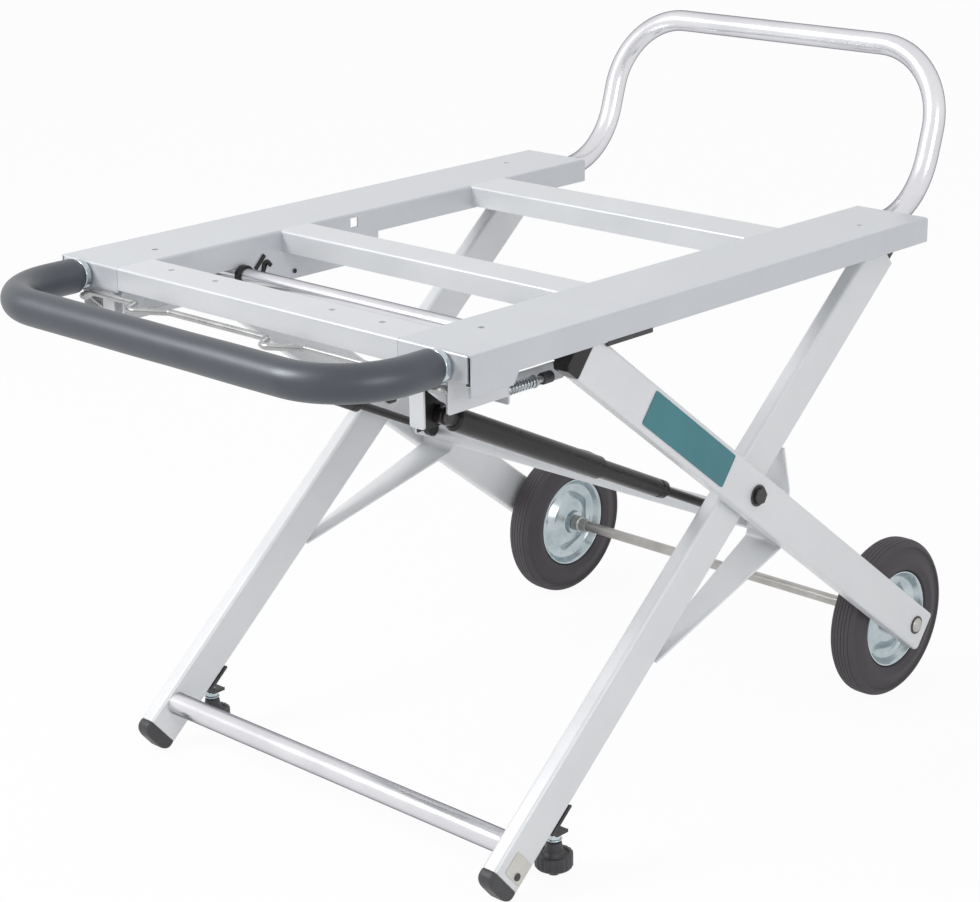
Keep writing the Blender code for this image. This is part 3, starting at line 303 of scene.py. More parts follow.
# Feet
SHELF_HEIGHT = 0.046
SHELF_END = 0.011
BRACKET_SHEET = 0.003
BRACKET_FLANGE = 0.040
BRACKET_WIDTH = 0.019
BRACKET_BEND = 0.004
NUT_RADIUS = 0.008
NUT_HEIGHT = 0.006
NUT_WASHER = (0.0088, 0.0044, 0.0012)
STEM_RADIUS = 0.004
STEM_LOW = 0.0103
STEM_OVER = 0.004
STEM_ROWS = 300
THREAD_PITCH = 0.00125
THREAD_DEPTH = 0.0006
KNOB_RADIUS = 0.020
KNOB_SEAT = 0.0096
KNOB_BEND = 0.0007
KNOB = ((0.0046, KNOB_SEAT), (0.0046, 0.0365), (0.0082, 0.0365), (0.0098, 0.0262), (0.0126, 0.0222),
        (0.0152, 0.0222), (0.0160, 0.0240), (KNOB_RADIUS, 0.0236), (KNOB_RADIUS, 0.0100),
        (0.92 * KNOB_RADIUS, 0.0080), (0.40 * KNOB_RADIUS, 0.0074), (0.32 * KNOB_RADIUS, 0.0008),
        (0.30 * KNOB_RADIUS, 0))
KNOB_RIBS = 20
RIB_DEPTH = 0.0009
RIB_LOW = 0.0095
RIB_BAND = (0.90, 0.1)
CLIP_LONG = 0.026
CLIP_WIDE = 0.030
CLIP_SHEET = 0.0012
CLIP_START = 0.006
CLIP_CORNER = 0.003
SCREW_PLACE = (0.012, 0.008)
SCREW_HEAD = (0.0042, 0.0014)

# Camera and light
CAMERA_TURNS = (43.454, 18.313, -0.725)
CAMERA_PLACE = (1.74233, -1.862761, 1.186891)
CAMERA_LENS = 88.66
SENSOR_WIDTH = 36.0
VIEW_LIMIT = 200.0
LAMP_AIM = Vector((0.0, -0.1, 0.45))
LAMP_REACH = 3.2
LAMPS = (("key_lamp", 60.0, 1.1, (-0.42, -0.68, 0.60)), ("fill_lamp", 16.0, 1.0, (0.88, -0.20, 0.30)))
SKY_BELOW = (0.25, (0.40, 0.40, 0.42, 1.0))
SKY_LEVEL = (0.52, (0.54, 0.55, 0.57, 1.0))
SKY_ABOVE = (0.95, (0.60, 0.61, 0.63, 1.0))
FLOOR_HALF = 30.0
FLOOR_TONE = (0.86, 0.86, 0.86, 1.0)
FLOOR_GLOW = 0.95

# Noise in the finishes: detail and roughness, and the spans that colour and shine take from it
CLOUD_NOISE = (4.0, 0.55)
GRAIN_NOISE = (3.0, 0.6)
COLOUR_SPAN = (0.32, 0.68)
SHINE_SPAN = (0.3, 0.7)
COAT_ROUGHNESS = 0.12

# Fineness: gaps, eased edges and steps
HAIR = 0.0001
GAP = 0.0003
PLAY = 0.0004
LAP = 0.0005
FINE_EDGE = 0.0004
SMALL_EDGE = 0.0005
EDGE = 0.0006
SOFT_EDGE = 0.0008
ROUND_EDGE = 0.0012
EDGE_STEPS = 4
BEND_STEPS = 8
ROUND = 40
SMALL_ROUND = 24
FINE_ROUND = 120
HUB_ROUND = 96
WIRE_ROUND = 16
COIL_ROUND = 8
HEX_CORNER = 0.12
WASHER_EASE = 0.3
TIP_SCALE = 0.7
SHARPEST = 0.3
TINY = 1e-12
WELD = 1e-6
SMOOTH_ANGLE = math.radians(34)
SIDES = ((-1, "left"), (1, "right"))
X = np.array((1.0, 0.0, 0.0))
Y = np.array((0.0, 1.0, 0.0))
Z = np.array((0.0, 0.0, 1.0))

# Places read from the frame
NODE_BODY = {node: body for body, nodes in frame["record"]["behaviour"]["bodies"].items() for node in nodes}
JOINT = {joint["name"]: joint for joint in frame["joints"]}


def middle(node):
    """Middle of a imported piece's box."""
    low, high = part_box(node)
    return (np.array(low) + np.array(high)) / 2


def joint_place(name):
    """Place of a joint in the side plane, at x 0."""
    return np.array(JOINT[name]["pos_m"]) * (0, 1, 1)


RAIL_LOW, RAIL_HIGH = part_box("rail_right")
FRONT = RAIL_LOW.y
TOP = RAIL_HIGH.z
LENGTH = RAIL_HIGH.y - RAIL_LOW.y
HALF = RAIL_HIGH.x
RAIL_INNER = RAIL_LOW.x
GUIDE_LOW = RAIL_LOW.z - TOP
TABLE = np.array((0.0, FRONT, TOP))
HINGE = joint_place("fold")
PIVOT = joint_place("wheel_leg_fold")
AXLE = joint_place("wheel_spin_right")
SPRING_FRONT = joint_place("gas_swing_right")
FOOT_Y = joint_place("foot_turn_right")[1]
ARM = np.linalg.norm(HINGE - PIVOT)
AXLE_REACH = np.linalg.norm(AXLE - PIVOT)
LEG_UP = (HINGE - PIVOT) / ARM
LEG_BACK = np.array((0.0, LEG_UP[2], -LEG_UP[1]))
ARM_UP = (PIVOT - AXLE) / AXLE_REACH
ARM_TOP = np.array((0.0, ARM_UP[2], -ARM_UP[1]))
SLIDER = middle("slider_tube") * (0, 1, 1)
STRUT = PIVOT + STRUT_ALONG * LEG_UP + STRUT_BEHIND * LEG_BACK
SPRING_LINE = (STRUT - SPRING_FRONT) / np.linalg.norm(STRUT - SPRING_FRONT)
SPRING_REAR = STRUT - LUG_REACH * SPRING_LINE
FRONT_LEG_X = middle("front_leg_right")[0]
WHEEL_LEG_X = middle("wheel_leg_right")[0]
WHEEL_X = middle("tyre_right")[0]
FRONT_LEG_OUTER = FRONT_LEG_X + LEG_THICK / 2
FRONT_LEG_INNER = FRONT_LEG_X - LEG_THICK / 2
WHEEL_LEG_OUTER = WHEEL_LEG_X + LEG_THICK / 2
LATCH_Z = middle("latch_tip_right")[2] - TOP


def unit(rows):
    """Each row divided by its own length."""
    return rows / np.maximum(np.linalg.norm(rows, axis=-1, keepdims=True), TINY)


def bend(points, radii, steps=BEND_STEPS, closed=False):
    """Line whose corners are replaced by arcs that touch both their sides.

    An arc's centre lies on its corner's bisector, at the radius over the cosine of half the turn. Its points
    are weighted sums of its first and last spokes, with the sines of the turns still to go and already done.
    """
    points = np.asarray(points, float)
    before, corner, after = points[:-2], points[1:-1], points[2:]
    if closed:
        before, corner, after = np.roll(points, 1, 0), points, np.roll(points, -1, 0)
    back = unit(before - corner)
    ahead = unit(after - corner)
    turn = np.pi - np.arccos(np.clip((back * ahead).sum(1), -1, 1))
    reach = np.broadcast_to(np.asarray(radii, float), turn.shape)
    centre = corner + unit(back + ahead) * (reach / np.cos(turn / 2))[:, None]
    first = corner + back * (reach * np.tan(turn / 2))[:, None] - centre
    last = corner + ahead * (reach * np.tan(turn / 2))[:, None] - centre
    share = np.linspace(0, 1, steps + 1)
    to_go = np.sin((1 - share) * turn[:, None]) / np.sin(turn)[:, None]
    done = np.sin(share * turn[:, None]) / np.sin(turn)[:, None]
    arcs = centre[:, None] + to_go[..., None] * first[:, None] + done[..., None] * last[:, None]
    arcs = arcs.reshape(-1, points.shape[1])
    if closed:
        return arcs
    return np.concatenate([points[:1], arcs, points[-1:]])


def directions(line):
    """Unit direction of a line at each of its points, halfway between the steps before and after."""
    steps = unit(np.diff(line, axis=0))
    return unit(np.concatenate([steps[:1], steps[:-1] + steps[1:], steps[-1:]]))


def strip(line, thick):
    """Outline of a bent sheet: its middle line moved half the thickness along its normals, to either side."""
    along = directions(line)
    normal = np.stack([-along[:, 1], along[:, 0]], 1) * thick / 2
    return np.concatenate([line + normal, (line - normal)[::-1]])


def inset(outline, depth):
    """Closed outline moved inwards, each point along the mean of the normals of its two sides."""
    after = unit(np.roll(outline, -1, 0) - outline)
    before = np.roll(after, 1, 0)
    before = np.where(np.abs(before).sum(1, keepdims=True) > 0, before, np.roll(before, 1, 0))
    after = np.where(np.abs(after).sum(1, keepdims=True) > 0, after, np.roll(after, -1, 0))
    normal_before = np.stack([-before[:, 1], before[:, 0]], 1)
    normal_after = np.stack([-after[:, 1], after[:, 0]], 1)
    mean = unit(normal_before + normal_after)
    return outline + mean * depth / np.maximum((mean * normal_after).sum(1, keepdims=True), SHARPEST)


def circle(radius, count=ROUND, centre=(0.0, 0.0)):
    """Points of a circle: cosine and sine of evenly spaced turns, times the radius."""
    turn = 2 * np.pi * np.arange(count) / count
    return np.stack([np.cos(turn), np.sin(turn)], 1) * radius + centre


def rounded_box(width, depth, radius, steps=5, centre=(0.0, 0.0)):
    """Rectangle about a centre, its corners replaced by arcs."""
    corners = np.array([(-1, -1), (1, -1), (1, 1), (-1, 1)]) * (width / 2, depth / 2)
    return bend(corners, radius, steps, closed=True) + centre


def arc(centre, radius, start, end, steps=10):
    """Points of an arc: cosine and sine of the turn from start to end in degrees, times the radius."""
    turn = np.radians(np.linspace(start, end, steps + 1))
    return np.stack([np.cos(turn), np.sin(turn)], 1) * radius + centre


def hexagon(radius):
    """Six points of a circle, their corners replaced by small arcs."""
    return bend(circle(radius, 6), radius * HEX_CORNER, 3, closed=True)


def capsule(start, end, radius, steps=10):
    """Outline with two round ends: two half circles about its ends."""
    turn = math.degrees(math.atan2(end[1] - start[1], end[0] - start[0]))
    return np.concatenate([arc(start, radius, turn + 90, turn + 270, steps),
                           arc(end, radius, turn - 90, turn + 90, steps)])


def prism(outline, origin, across, up, thick, edge=0.0):
    """Outline drawn in a plane and carried half its thickness to either side, with rounded rims.

    Round a rim the outline moves in by the edge times one minus the sine of the turn, while its height
    falls by the edge times one minus the cosine.
    """
    turn = np.linspace(0, np.pi / 2, EDGE_STEPS if edge else 1)
    inward = edge * (1 - np.sin(turn))
    height = thick / 2 - edge * (1 - np.cos(turn))
    inward = np.concatenate([inward, inward[::-1]])
    height = np.concatenate([-height, height[::-1]])
    return flat_rows(outline, inward, height, origin, across, up), False, True


def flat_rows(outline, inward, height, origin, across, up):
    """Rows of an outline: each moved in by its own depth and lifted by its own height along the normal."""
    drawn = np.stack([inset(outline, depth) for depth in inward])
    across = np.asarray(across, float)
    up = np.asarray(up, float)
    flat = drawn[..., :1] * across + drawn[..., 1:] * up
    return np.asarray(origin, float) + flat + height[:, None, None] * np.cross(across, up)


def sleeve(outline, wall, origin, across, up, start, end, edge=EDGE):
    """Open tube: rows of its outer wall from start to end, then of its inner wall back to the start."""
    inward = np.array([edge, 0.0, 0.0, edge, wall, wall])
    height = np.array([start, start + edge, end - edge, end, end, start])
    return flat_rows(outline, inward, height, origin, across, up), True, False


def carry(section, path, reference=Z):
    """Section carried along a path: each row is a point of the path plus the section's two measures.

    The side direction is square to the reference and to the path; the up direction is square to both.
    """
    along = directions(path)
    side = unit(np.cross(np.broadcast_to(reference, along.shape), along))
    up = np.cross(along, side)
    section = np.broadcast_to(section, (len(path),) + np.shape(section)[-2:])
    return path[:, None] + section[..., :1] * side[:, None] + section[..., 1:] * up[:, None]


def pipe(path, radius, wall, reference=Z, edge=EDGE, count=ROUND):
    """Bent tube with open ends: circles along the path, then smaller ones back again inside."""
    start, end = directions(path)[[0, -1]] * edge
    path = np.concatenate([path[:1], path[:1] + start, path[1:-1], path[-1:] - end, path[-1:]])
    scale = np.full(len(path), radius)
    scale[[0, -1]] -= edge
    outer = carry(circle(1.0, count) * scale[:, None, None], path, reference)
    inner = carry(circle(radius - wall, count), path, reference)[::-1]
    return np.concatenate([outer, inner]), True, False


def wire(path, radius, reference=Z, count=WIRE_ROUND):
    """Solid round bar: circles carried along a path, smaller at its two ends."""
    start, end = directions(path)[[0, -1]] * radius / 3
    path = np.concatenate([path[:1], path[:1] + start, path[1:-1], path[-1:] - end, path[-1:]])
    scale = np.full(len(path), radius)
    scale[[0, -1]] *= TIP_SCALE
    return carry(circle(1.0, count) * scale[:, None, None], path, reference), False, True


def turned(profile, origin, axis, count=ROUND, wave=None, ring=False):
    """Profile of radius and height turned round an axis.

    A spoke is the cosine and sine of the angle along two directions square to the axis. A point is the origin
    plus its radius along the spoke and its height along the axis; a wave may move both with the angle.
    """
    profile = np.asarray(profile, float)
    axis = unit(np.asarray(axis, float))
    first = unit(np.cross(axis, Z if abs(axis[2]) < 0.9 else X))
    second = np.cross(axis, first)
    angle = 2 * np.pi * np.arange(count) / count
    radius = profile[:, :1] + 0 * angle
    height = profile[:, 1:] + 0 * angle
    if wave:
        radius, height = wave(radius, height, angle)
    spoke = np.cos(angle)[:, None] * first + np.sin(angle)[:, None] * second
    grid = np.asarray(origin, float) + radius[..., None] * spoke + height[..., None] * axis
    return grid, ring, False


def evenly(path, count):
    """Path's points spaced evenly: each coordinate is read off at equal steps of the distance along it."""
    run = np.concatenate([[0.0], np.cumsum(np.linalg.norm(np.diff(path, axis=0), axis=1))])
    spots = np.linspace(0, run[-1], count)
    return np.stack([np.interp(spots, run, path[:, axis]) for axis in range(path.shape[1])], 1)


def smooth(mesh):
    """Smooth shading with sharp corners."""
    mesh.shade_smooth()
    mesh.set_sharp_from_angle(angle=SMOOTH_ANGLE)


def make(name, *shells):
    """Object of closed grids: their columns close round, and their rows close as a ring or are capped."""
    points = []
    faces = []
    count = 0
    for grid, ring, caps in shells:
        index = np.arange(grid.shape[0] * grid.shape[1]).reshape(grid.shape[:2]) + count
        ahead = np.roll(index, -1, 1)
        quads = np.stack([index, ahead, np.roll(ahead, -1, 0), np.roll(index, -1, 0)], -1)
        quads = quads if ring else quads[:-1]
        faces += quads.reshape(-1, 4).tolist()
        if caps:
            faces += [index[0, ::-1].tolist(), index[-1].tolist()]
        points.append(grid.reshape(-1, 3))
        count += index.size
    mesh = bpy.data.meshes.new(name)
    mesh.from_pydata(np.concatenate(points).tolist(), [], faces)
    welded = bmesh.new()
    welded.from_mesh(mesh)
    bmesh.ops.remove_doubles(welded, verts=welded.verts, dist=WELD)
    bmesh.ops.dissolve_degenerate(welded, edges=welded.edges, dist=WELD)
    bmesh.ops.recalc_face_normals(welded, faces=welded.faces)
    welded.to_mesh(mesh)
    welded.free()
    smooth(mesh)
    thing = bpy.data.objects.new(name, mesh)
    bpy.context.scene.collection.objects.link(thing)
    return thing


def cut(thing, *cutters):
    """Holes cut through a piece by closed grids."""
    for cutter in cutters:
        tool = make("cutter", cutter)
        boolean = thing.modifiers.new("cut", "BOOLEAN")
        boolean.operation = "DIFFERENCE"
        boolean.solver = "EXACT"
        boolean.object = tool
        bpy.context.view_layer.update()
        graph = bpy.context.evaluated_depsgraph_get()
        mesh = bpy.data.meshes.new_from_object(thing.evaluated_get(graph))
        thing.modifiers.clear()
        thing.data = mesh
        bpy.data.objects.remove(tool, do_unlink=True)
    smooth(thing.data)
    return thing


def show(thing, coat, *nodes, body=None):
    """Give a piece its finish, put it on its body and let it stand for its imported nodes."""
    thing.data.materials.clear()
    thing.data.materials.append(FINISH[coat])
    flats = thing.modifiers.new("flat faces", "WEIGHTED_NORMAL")
    flats.keep_sharp = True
    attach(thing, body or NODE_BODY[nodes[0]])
    if nodes:
        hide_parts(*nodes)
    return thing


def add_node(tree, kind, **values):
    """New shader node with its inputs set."""
    made = tree.nodes.new(kind)
    for name, value in values.items():
        made.inputs[name.replace("_", " ")].default_value = value
    return made


def finish(name, dark, light, metallic, rough, cloud, grain, lift, coat=0.0, stretch=(1, 1, 1), gloss=0.5,
           tint=(1.0, 1.0, 1.0)):
    """Finish on Object coordinates.

    A cloud noise blends the colour between its dark and light tones and the roughness between two values.
    A finer noise, drawn out by the stretch, raises the surface by the lift. The tint colours the gloss: on
    the bright tube it is painted shade in the reflection towards the edges, on the foam a painted blue on the
    highlight.
    """
    material = bpy.data.materials.new(name)
    material.use_nodes = True
    tree = material.node_tree
    shader = tree.nodes["Principled BSDF"]
    shader.inputs["Metallic"].default_value = metallic
    shader.inputs["Specular IOR Level"].default_value = gloss
    shader.inputs["Specular Tint"].default_value = (*tint, 1.0)
    shader.inputs["Coat Weight"].default_value = coat
    shader.inputs["Coat Roughness"].default_value = COAT_ROUGHNESS
    place = tree.nodes.new("ShaderNodeTexCoord")
    clouds = add_node(tree, "ShaderNodeTexNoise", Scale=cloud, Detail=CLOUD_NOISE[0],
                      Roughness=CLOUD_NOISE[1])
    tree.links.new(place.outputs["Object"], clouds.inputs["Vector"])
    ramp = tree.nodes.new("ShaderNodeValToRGB")
    for stop, spot, tone in zip(ramp.color_ramp.elements, COLOUR_SPAN, (dark, light)):
        stop.position = spot
        stop.color = (*tone, 1.0)
    tree.links.new(clouds.outputs["Fac"], ramp.inputs["Fac"])
    tree.links.new(ramp.outputs["Color"], shader.inputs["Base Color"])
    shine = add_node(tree, "ShaderNodeMapRange", From_Min=SHINE_SPAN[0], From_Max=SHINE_SPAN[1],
                     To_Min=rough[0], To_Max=rough[1])
    tree.links.new(clouds.outputs["Fac"], shine.inputs["Value"])
    tree.links.new(shine.outputs["Result"], shader.inputs["Roughness"])
    drawn = add_node(tree, "ShaderNodeMapping", Scale=stretch)
    tree.links.new(place.outputs["Object"], drawn.inputs["Vector"])
    grains = add_node(tree, "ShaderNodeTexNoise", Scale=grain, Detail=GRAIN_NOISE[0],
                      Roughness=GRAIN_NOISE[1])
    tree.links.new(drawn.outputs["Vector"], grains.inputs["Vector"])
    bump = add_node(tree, "ShaderNodeBump", Strength=1.0, Distance=lift)
    tree.links.new(grains.outputs["Fac"], bump.inputs["Height"])
    tree.links.new(bump.outputs["Normal"], shader.inputs["Normal"])
    return material


# Each finish: dark and light tones, metallic, roughness, cloud and grain sizes, lift, and the rest by name
FINISHES = {
    "silver_paint": ((0.63, 0.642, 0.658), (0.672, 0.682, 0.695), 0.25, (0.30, 0.40), 12, 1100, 0.00006,
                     {"coat": 0.15}),
    # The rails' paint is the silver paint darkened: painted shade on the rail sheets and their end tabs
    "rail_paint": ((0.577, 0.592, 0.618), (0.615, 0.629, 0.653), 0.25, (0.30, 0.40), 12, 1100, 0.00006,
                   {"coat": 0.15}),
    # The legs' paint is the silver paint lightened: painted light on the leg tubes and straps
    "leg_paint": ((0.735, 0.744, 0.752), (0.775, 0.783, 0.79), 0.12, (0.30, 0.40), 12, 1100, 0.00006,
                  {"coat": 0.15}),
    # The bright tube's dark gloss tint is painted shade in its reflection, darker towards its edges
    "bright_tube": ((0.70, 0.70, 0.728), (0.78, 0.78, 0.80), 0.92, (0.18, 0.26), 14, 900, 0.00002,
                    {"tint": (0.14, 0.13, 0.17)}),
    "clip_steel": ((0.60, 0.585, 0.53), (0.69, 0.675, 0.62), 0.3, (0.34, 0.46), 60, 900, 0.00003, {}),
    "zinc": ((0.36, 0.43, 0.46), (0.60, 0.66, 0.69), 0.88, (0.16, 0.26), 26, 300, 0.00001, {}),
    "steel_wire": ((0.36, 0.36, 0.36), (0.47, 0.47, 0.47), 0.7, (0.24, 0.34), 40, 800, 0.00001, {}),
    "bare_steel": ((0.38, 0.37, 0.355), (0.50, 0.487, 0.468), 0.8, (0.26, 0.40), 30, 900, 0.00003,
                   {"stretch": (0.05, 1, 1)}),
    "dark_steel": ((0.045, 0.042, 0.043), (0.085, 0.08, 0.08), 0.6, (0.36, 0.52), 60, 1200, 0.00004, {}),
    "black_paint": ((0.016, 0.014, 0.015), (0.026, 0.023, 0.024), 0.0, (0.24, 0.34), 16, 1500, 0.00003,
                    {"gloss": 0.32}),
    # The foam's pale blue gloss tint is a painted blue on its highlight
    "foam": ((0.028, 0.032, 0.041), (0.038, 0.043, 0.055), 0.0, (0.36, 0.44), 24, 950, 0.00008,
             {"gloss": 0.95, "tint": (0.90, 0.95, 1.0)}),
    "black_plastic": ((0.034, 0.034, 0.037), (0.055, 0.054, 0.058), 0.0, (0.42, 0.56), 40, 1600, 0.00006, {}),
    "tyre": ((0.058, 0.053, 0.057), (0.082, 0.074, 0.079), 0.0, (0.66, 0.82), 18, 1100, 0.00009, {}),
    "teal_plate": ((0.026, 0.18, 0.208), (0.036, 0.208, 0.238), 0.0, (0.30, 0.40), 12, 900, 0.00002,
                   {"coat": 0.1}),
}
FINISH = {name: finish(name, *values, **rest) for name, (*values, rest) in FINISHES.items()}


def drill(x, y):
    """Cutter for a saw bolt hole in the table's top."""
    return prism(circle(HOLE_RADIUS, SMALL_ROUND), (x, y + FRONT, TOP), X, Y, TOP_CUT)


def folded_slider():
    """Slider's place when folded: the track from the hinge, as long as the scissor's legs then reach."""
    reach = np.linalg.norm(SLIDER - HINGE)
    opening = math.acos(reach / 2 / ARM)
    fold = math.radians(JOINT["fold"]["range_deg"][1])
    return HINGE + (SLIDER - HINGE) / reach * 2 * ARM * math.cos(opening - fold)


def make_rail(side, tag):
    """Rail of bent sheet, with its front end bent down from the top.

    The section runs up the inner guide, over the top and down the outer flange, and is carried back along y.
    Its inner lower edge is deep as far as the guide goes, and its outer one as far as the skirt in front.
    """
    half = SHEET / 2
    inner = RAIL_INNER + half
    outer = HALF - half
    line = bend([(inner, -RAIL_DEPTH), (inner, -half), (outer, -half), (outer, -RAIL_DEPTH)], SHEET_BEND)
    section = strip(line, SHEET)
    places = np.array([END_TAB, SKIRT_END, SKIRT_END + SKIRT_SLOPE,
                       GUIDE_LENGTH, GUIDE_LENGTH + GAP, LENGTH])
    guide = np.array([GUIDE_LOW] * 4 + [-RAIL_DEPTH] * 2)
    skirt = np.array([-SKIRT_DEPTH] * 2 + [-RAIL_DEPTH] * 4)
    grid = np.empty((len(places), len(section), 3))
    grid[..., 0] = side * section[:, 0]
    grid[..., 1] = places[:, None]
    grid[..., 2] = section[:, 1]
    grid[:, [0, -1], 2] = guide[:, None]
    grid[:, [len(line) - 1, len(line)], 2] = skirt[:, None]
    grid[0, :, 1] = np.where(section[:, 0] > HALF - SLIT, SLIT_START, END_TAB)
    rail = make("rail_sheet_" + tag, (grid + TABLE, False, True))
    slot = capsule(folded_slider()[1:], SLIDER[1:], SLOT_HALF)
    slot = prism(slot, (side * inner, 0, 0), Y, Z, SIDE_CUT)
    window = rounded_box(*WINDOW_SIZE, WINDOW_CORNER, centre=WINDOW_PLACE)
    window = prism(window, TABLE + (side * inner, 0, 0), Y, Z, SIDE_CUT)
    cut(rail, slot, window, drill(side * (RAIL_INNER + RAIL_HOLE_INSET), RAIL_HOLE_Y),
        drill(side * (HALF - RAIL_HOLE_INSET), LENGTH - RAIL_HOLE_Y))
    show(rail, "rail_paint", "rail_" + tag)
    face = TABLE + (side * (RAIL_INNER - STOP_HEIGHT / 2), 0, 0)
    stop = [strip(bend(points, STOP_BEND), STOP_WIDTH) for points in STOP_LINES]
    stop = [prism(outline, face, Y, Z, STOP_HEIGHT, FINE_EDGE) for outline in stop]
    rivet = bar(face + (0, *RIVET_PLACE), RIVET_RADIUS, STOP_HEIGHT)
    show(make("track_stop_" + tag, *stop, rivet), "black_paint", body="table")
    # Black strip below the outer flange, a painted shadow under the flange's edge
    start, end = SHADE_STRIP_SPAN
    place = TABLE + (side * outer, (start + end) / 2, -RAIL_DEPTH - SHADE_STRIP_DROP)
    shade_strip = prism(rounded_box(*SHADE_STRIP_SIZE, SHADE_STRIP_CORNER), place, X, Z, end - start, SOFT_EDGE)
    line = bend([(END_TAB, -half), (half, -half), (half, -RAIL_DEPTH)], SHEET_BEND)
    near, far = RAIL_INNER + END_SEAM, HALF - SLIT - SLIT_WIDTH
    # Black plate behind the corner slit: painted shade seen through the slit
    first, last = far - SLIT_SHADE_WIDTH, HALF - SHEET - GAP
    place = TABLE + (side * (first + last) / 2, END_TAB + SHEET / 2, -RAIL_DEPTH / 2 - 2 * SHEET)
    slit_shade = prism(rounded_box(last - first, RAIL_DEPTH, FINE_EDGE), place, X, Z, SHEET / 2)
    show(make("edge_trim_" + tag, shade_strip, slit_shade), "black_plastic", body="table")
    tab = prism(strip(line, SHEET), TABLE + (side * (near + far) / 2, 0, 0), Y, Z, far - near)
    place = TABLE + (side * FRONT_HANDLE_X, 0, -TUBE_DROP)
    notch = prism(circle(TUBE_RADIUS + GAP), place, X, Z, TOP_CUT)
    show(cut(make("rail_end_" + tag, tab), notch), "rail_paint", body="table")


def make_cross_members():
    """Channels between the rails: a bent sheet section carried across."""
    half = SHEET / 2
    for name, start, width in CROSS_MEMBERS:
        near, far = start + half, start + width - half
        line = bend([(near, -CROSS_DROP), (near, -half), (far, -half), (far, -CROSS_DROP)], SHEET_BEND)
        channel = prism(strip(line, SHEET), TABLE, Y, Z, 2 * (RAIL_INNER + CORNER_LAP))
        member = make(name + "_channel", channel)
        if name == "front":
            cut(member, *[drill(side * x, MEMBER_HOLE_Y) for side, _ in SIDES for x in MEMBER_HOLES])
        show(member, "silver_paint", name + "_cross_member")


def handle_line(start):
    """Front handle's middle line, from a distance behind the table's front edge."""
    x, z = FRONT_HANDLE_X, -TUBE_DROP
    corners = [(x, start, z), (x, -FRONT_REACH, z), (-x, -FRONT_REACH, z), (-x, start, z)]
    return bend(corners, FRONT_BEND, 24) + TABLE


def make_handles():
    """Front handle with its foam sleeve and collars, and the tall rear handle: circles along bent lines."""
    tow_tube = pipe(handle_line(FRONT_INSERT), TUBE_RADIUS, TUBE_WALL)
    show(make("tow_handle", tow_tube), "bright_tube", "front_handle")
    make_grip()
    ring = rounded_box(COLLAR_WALL, COLLAR_LENGTH, COLLAR_CORNER, centre=(COLLAR_MIDDLE, 0))
    for _, tag in SIDES:
        node = "handle_collar_" + tag
        show(make("collar_" + tag, turned(ring, middle(node), Y, ring=True)), "zinc", node)
    lean = np.array((0, math.cos(REAR_LEAN), math.sin(REAR_LEAN)))
    start = np.array((REAR_HANDLE_X, LENGTH - REAR_INSERT, -TUBE_DROP))
    corner = np.array((REAR_HANDLE_X, LENGTH + REAR_SETBACK, -TUBE_DROP))
    right = np.stack([start, corner, corner + REAR_RISE * lean])
    corners = np.concatenate([right, right[::-1] * (-1, 1, 1)])
    path = bend(corners, REAR_BEND, 20) + TABLE
    facing = np.array((0, math.sin(REAR_LEAN), -math.cos(REAR_LEAN)))
    show(make("push_handle", pipe(path, TUBE_RADIUS, TUBE_WALL, facing)), "bright_tube", "rear_handle")


def make_grip():
    """Foam sleeve on the front handle: circles along its line whose radius swells and dips a little.

    The radius is the sleeve's own plus sines of the distance along it and of the angle round it.
    """
    path = evenly(handle_line(-GRIP_START), GRIP_ROWS)
    run = np.linspace(0, 1, GRIP_ROWS)[:, None]
    angle = 2 * np.pi * np.arange(GRIP_COLUMNS) / GRIP_COLUMNS
    first, second = GRIP_WAVES
    swell = GRIP_SWELL * (np.sin(first * run + 1.0) + np.sin(second * run + 2 * angle))
    radius = GRIP_RADIUS - 4 * GRIP_SWELL + swell
    radius[[0, -1]] -= GRIP_RIM[0]
    radius[[1, -2]] -= GRIP_RIM[1]
    outer = carry(circle(1.0, GRIP_COLUMNS) * radius[..., None], path)
    inner = carry(circle(TUBE_RADIUS + GAP, GRIP_COLUMNS), path)[::-1]
    grip = make("foam_grip", (np.concatenate([outer, inner]), True, False))
    show(grip, "foam", "front_grip")


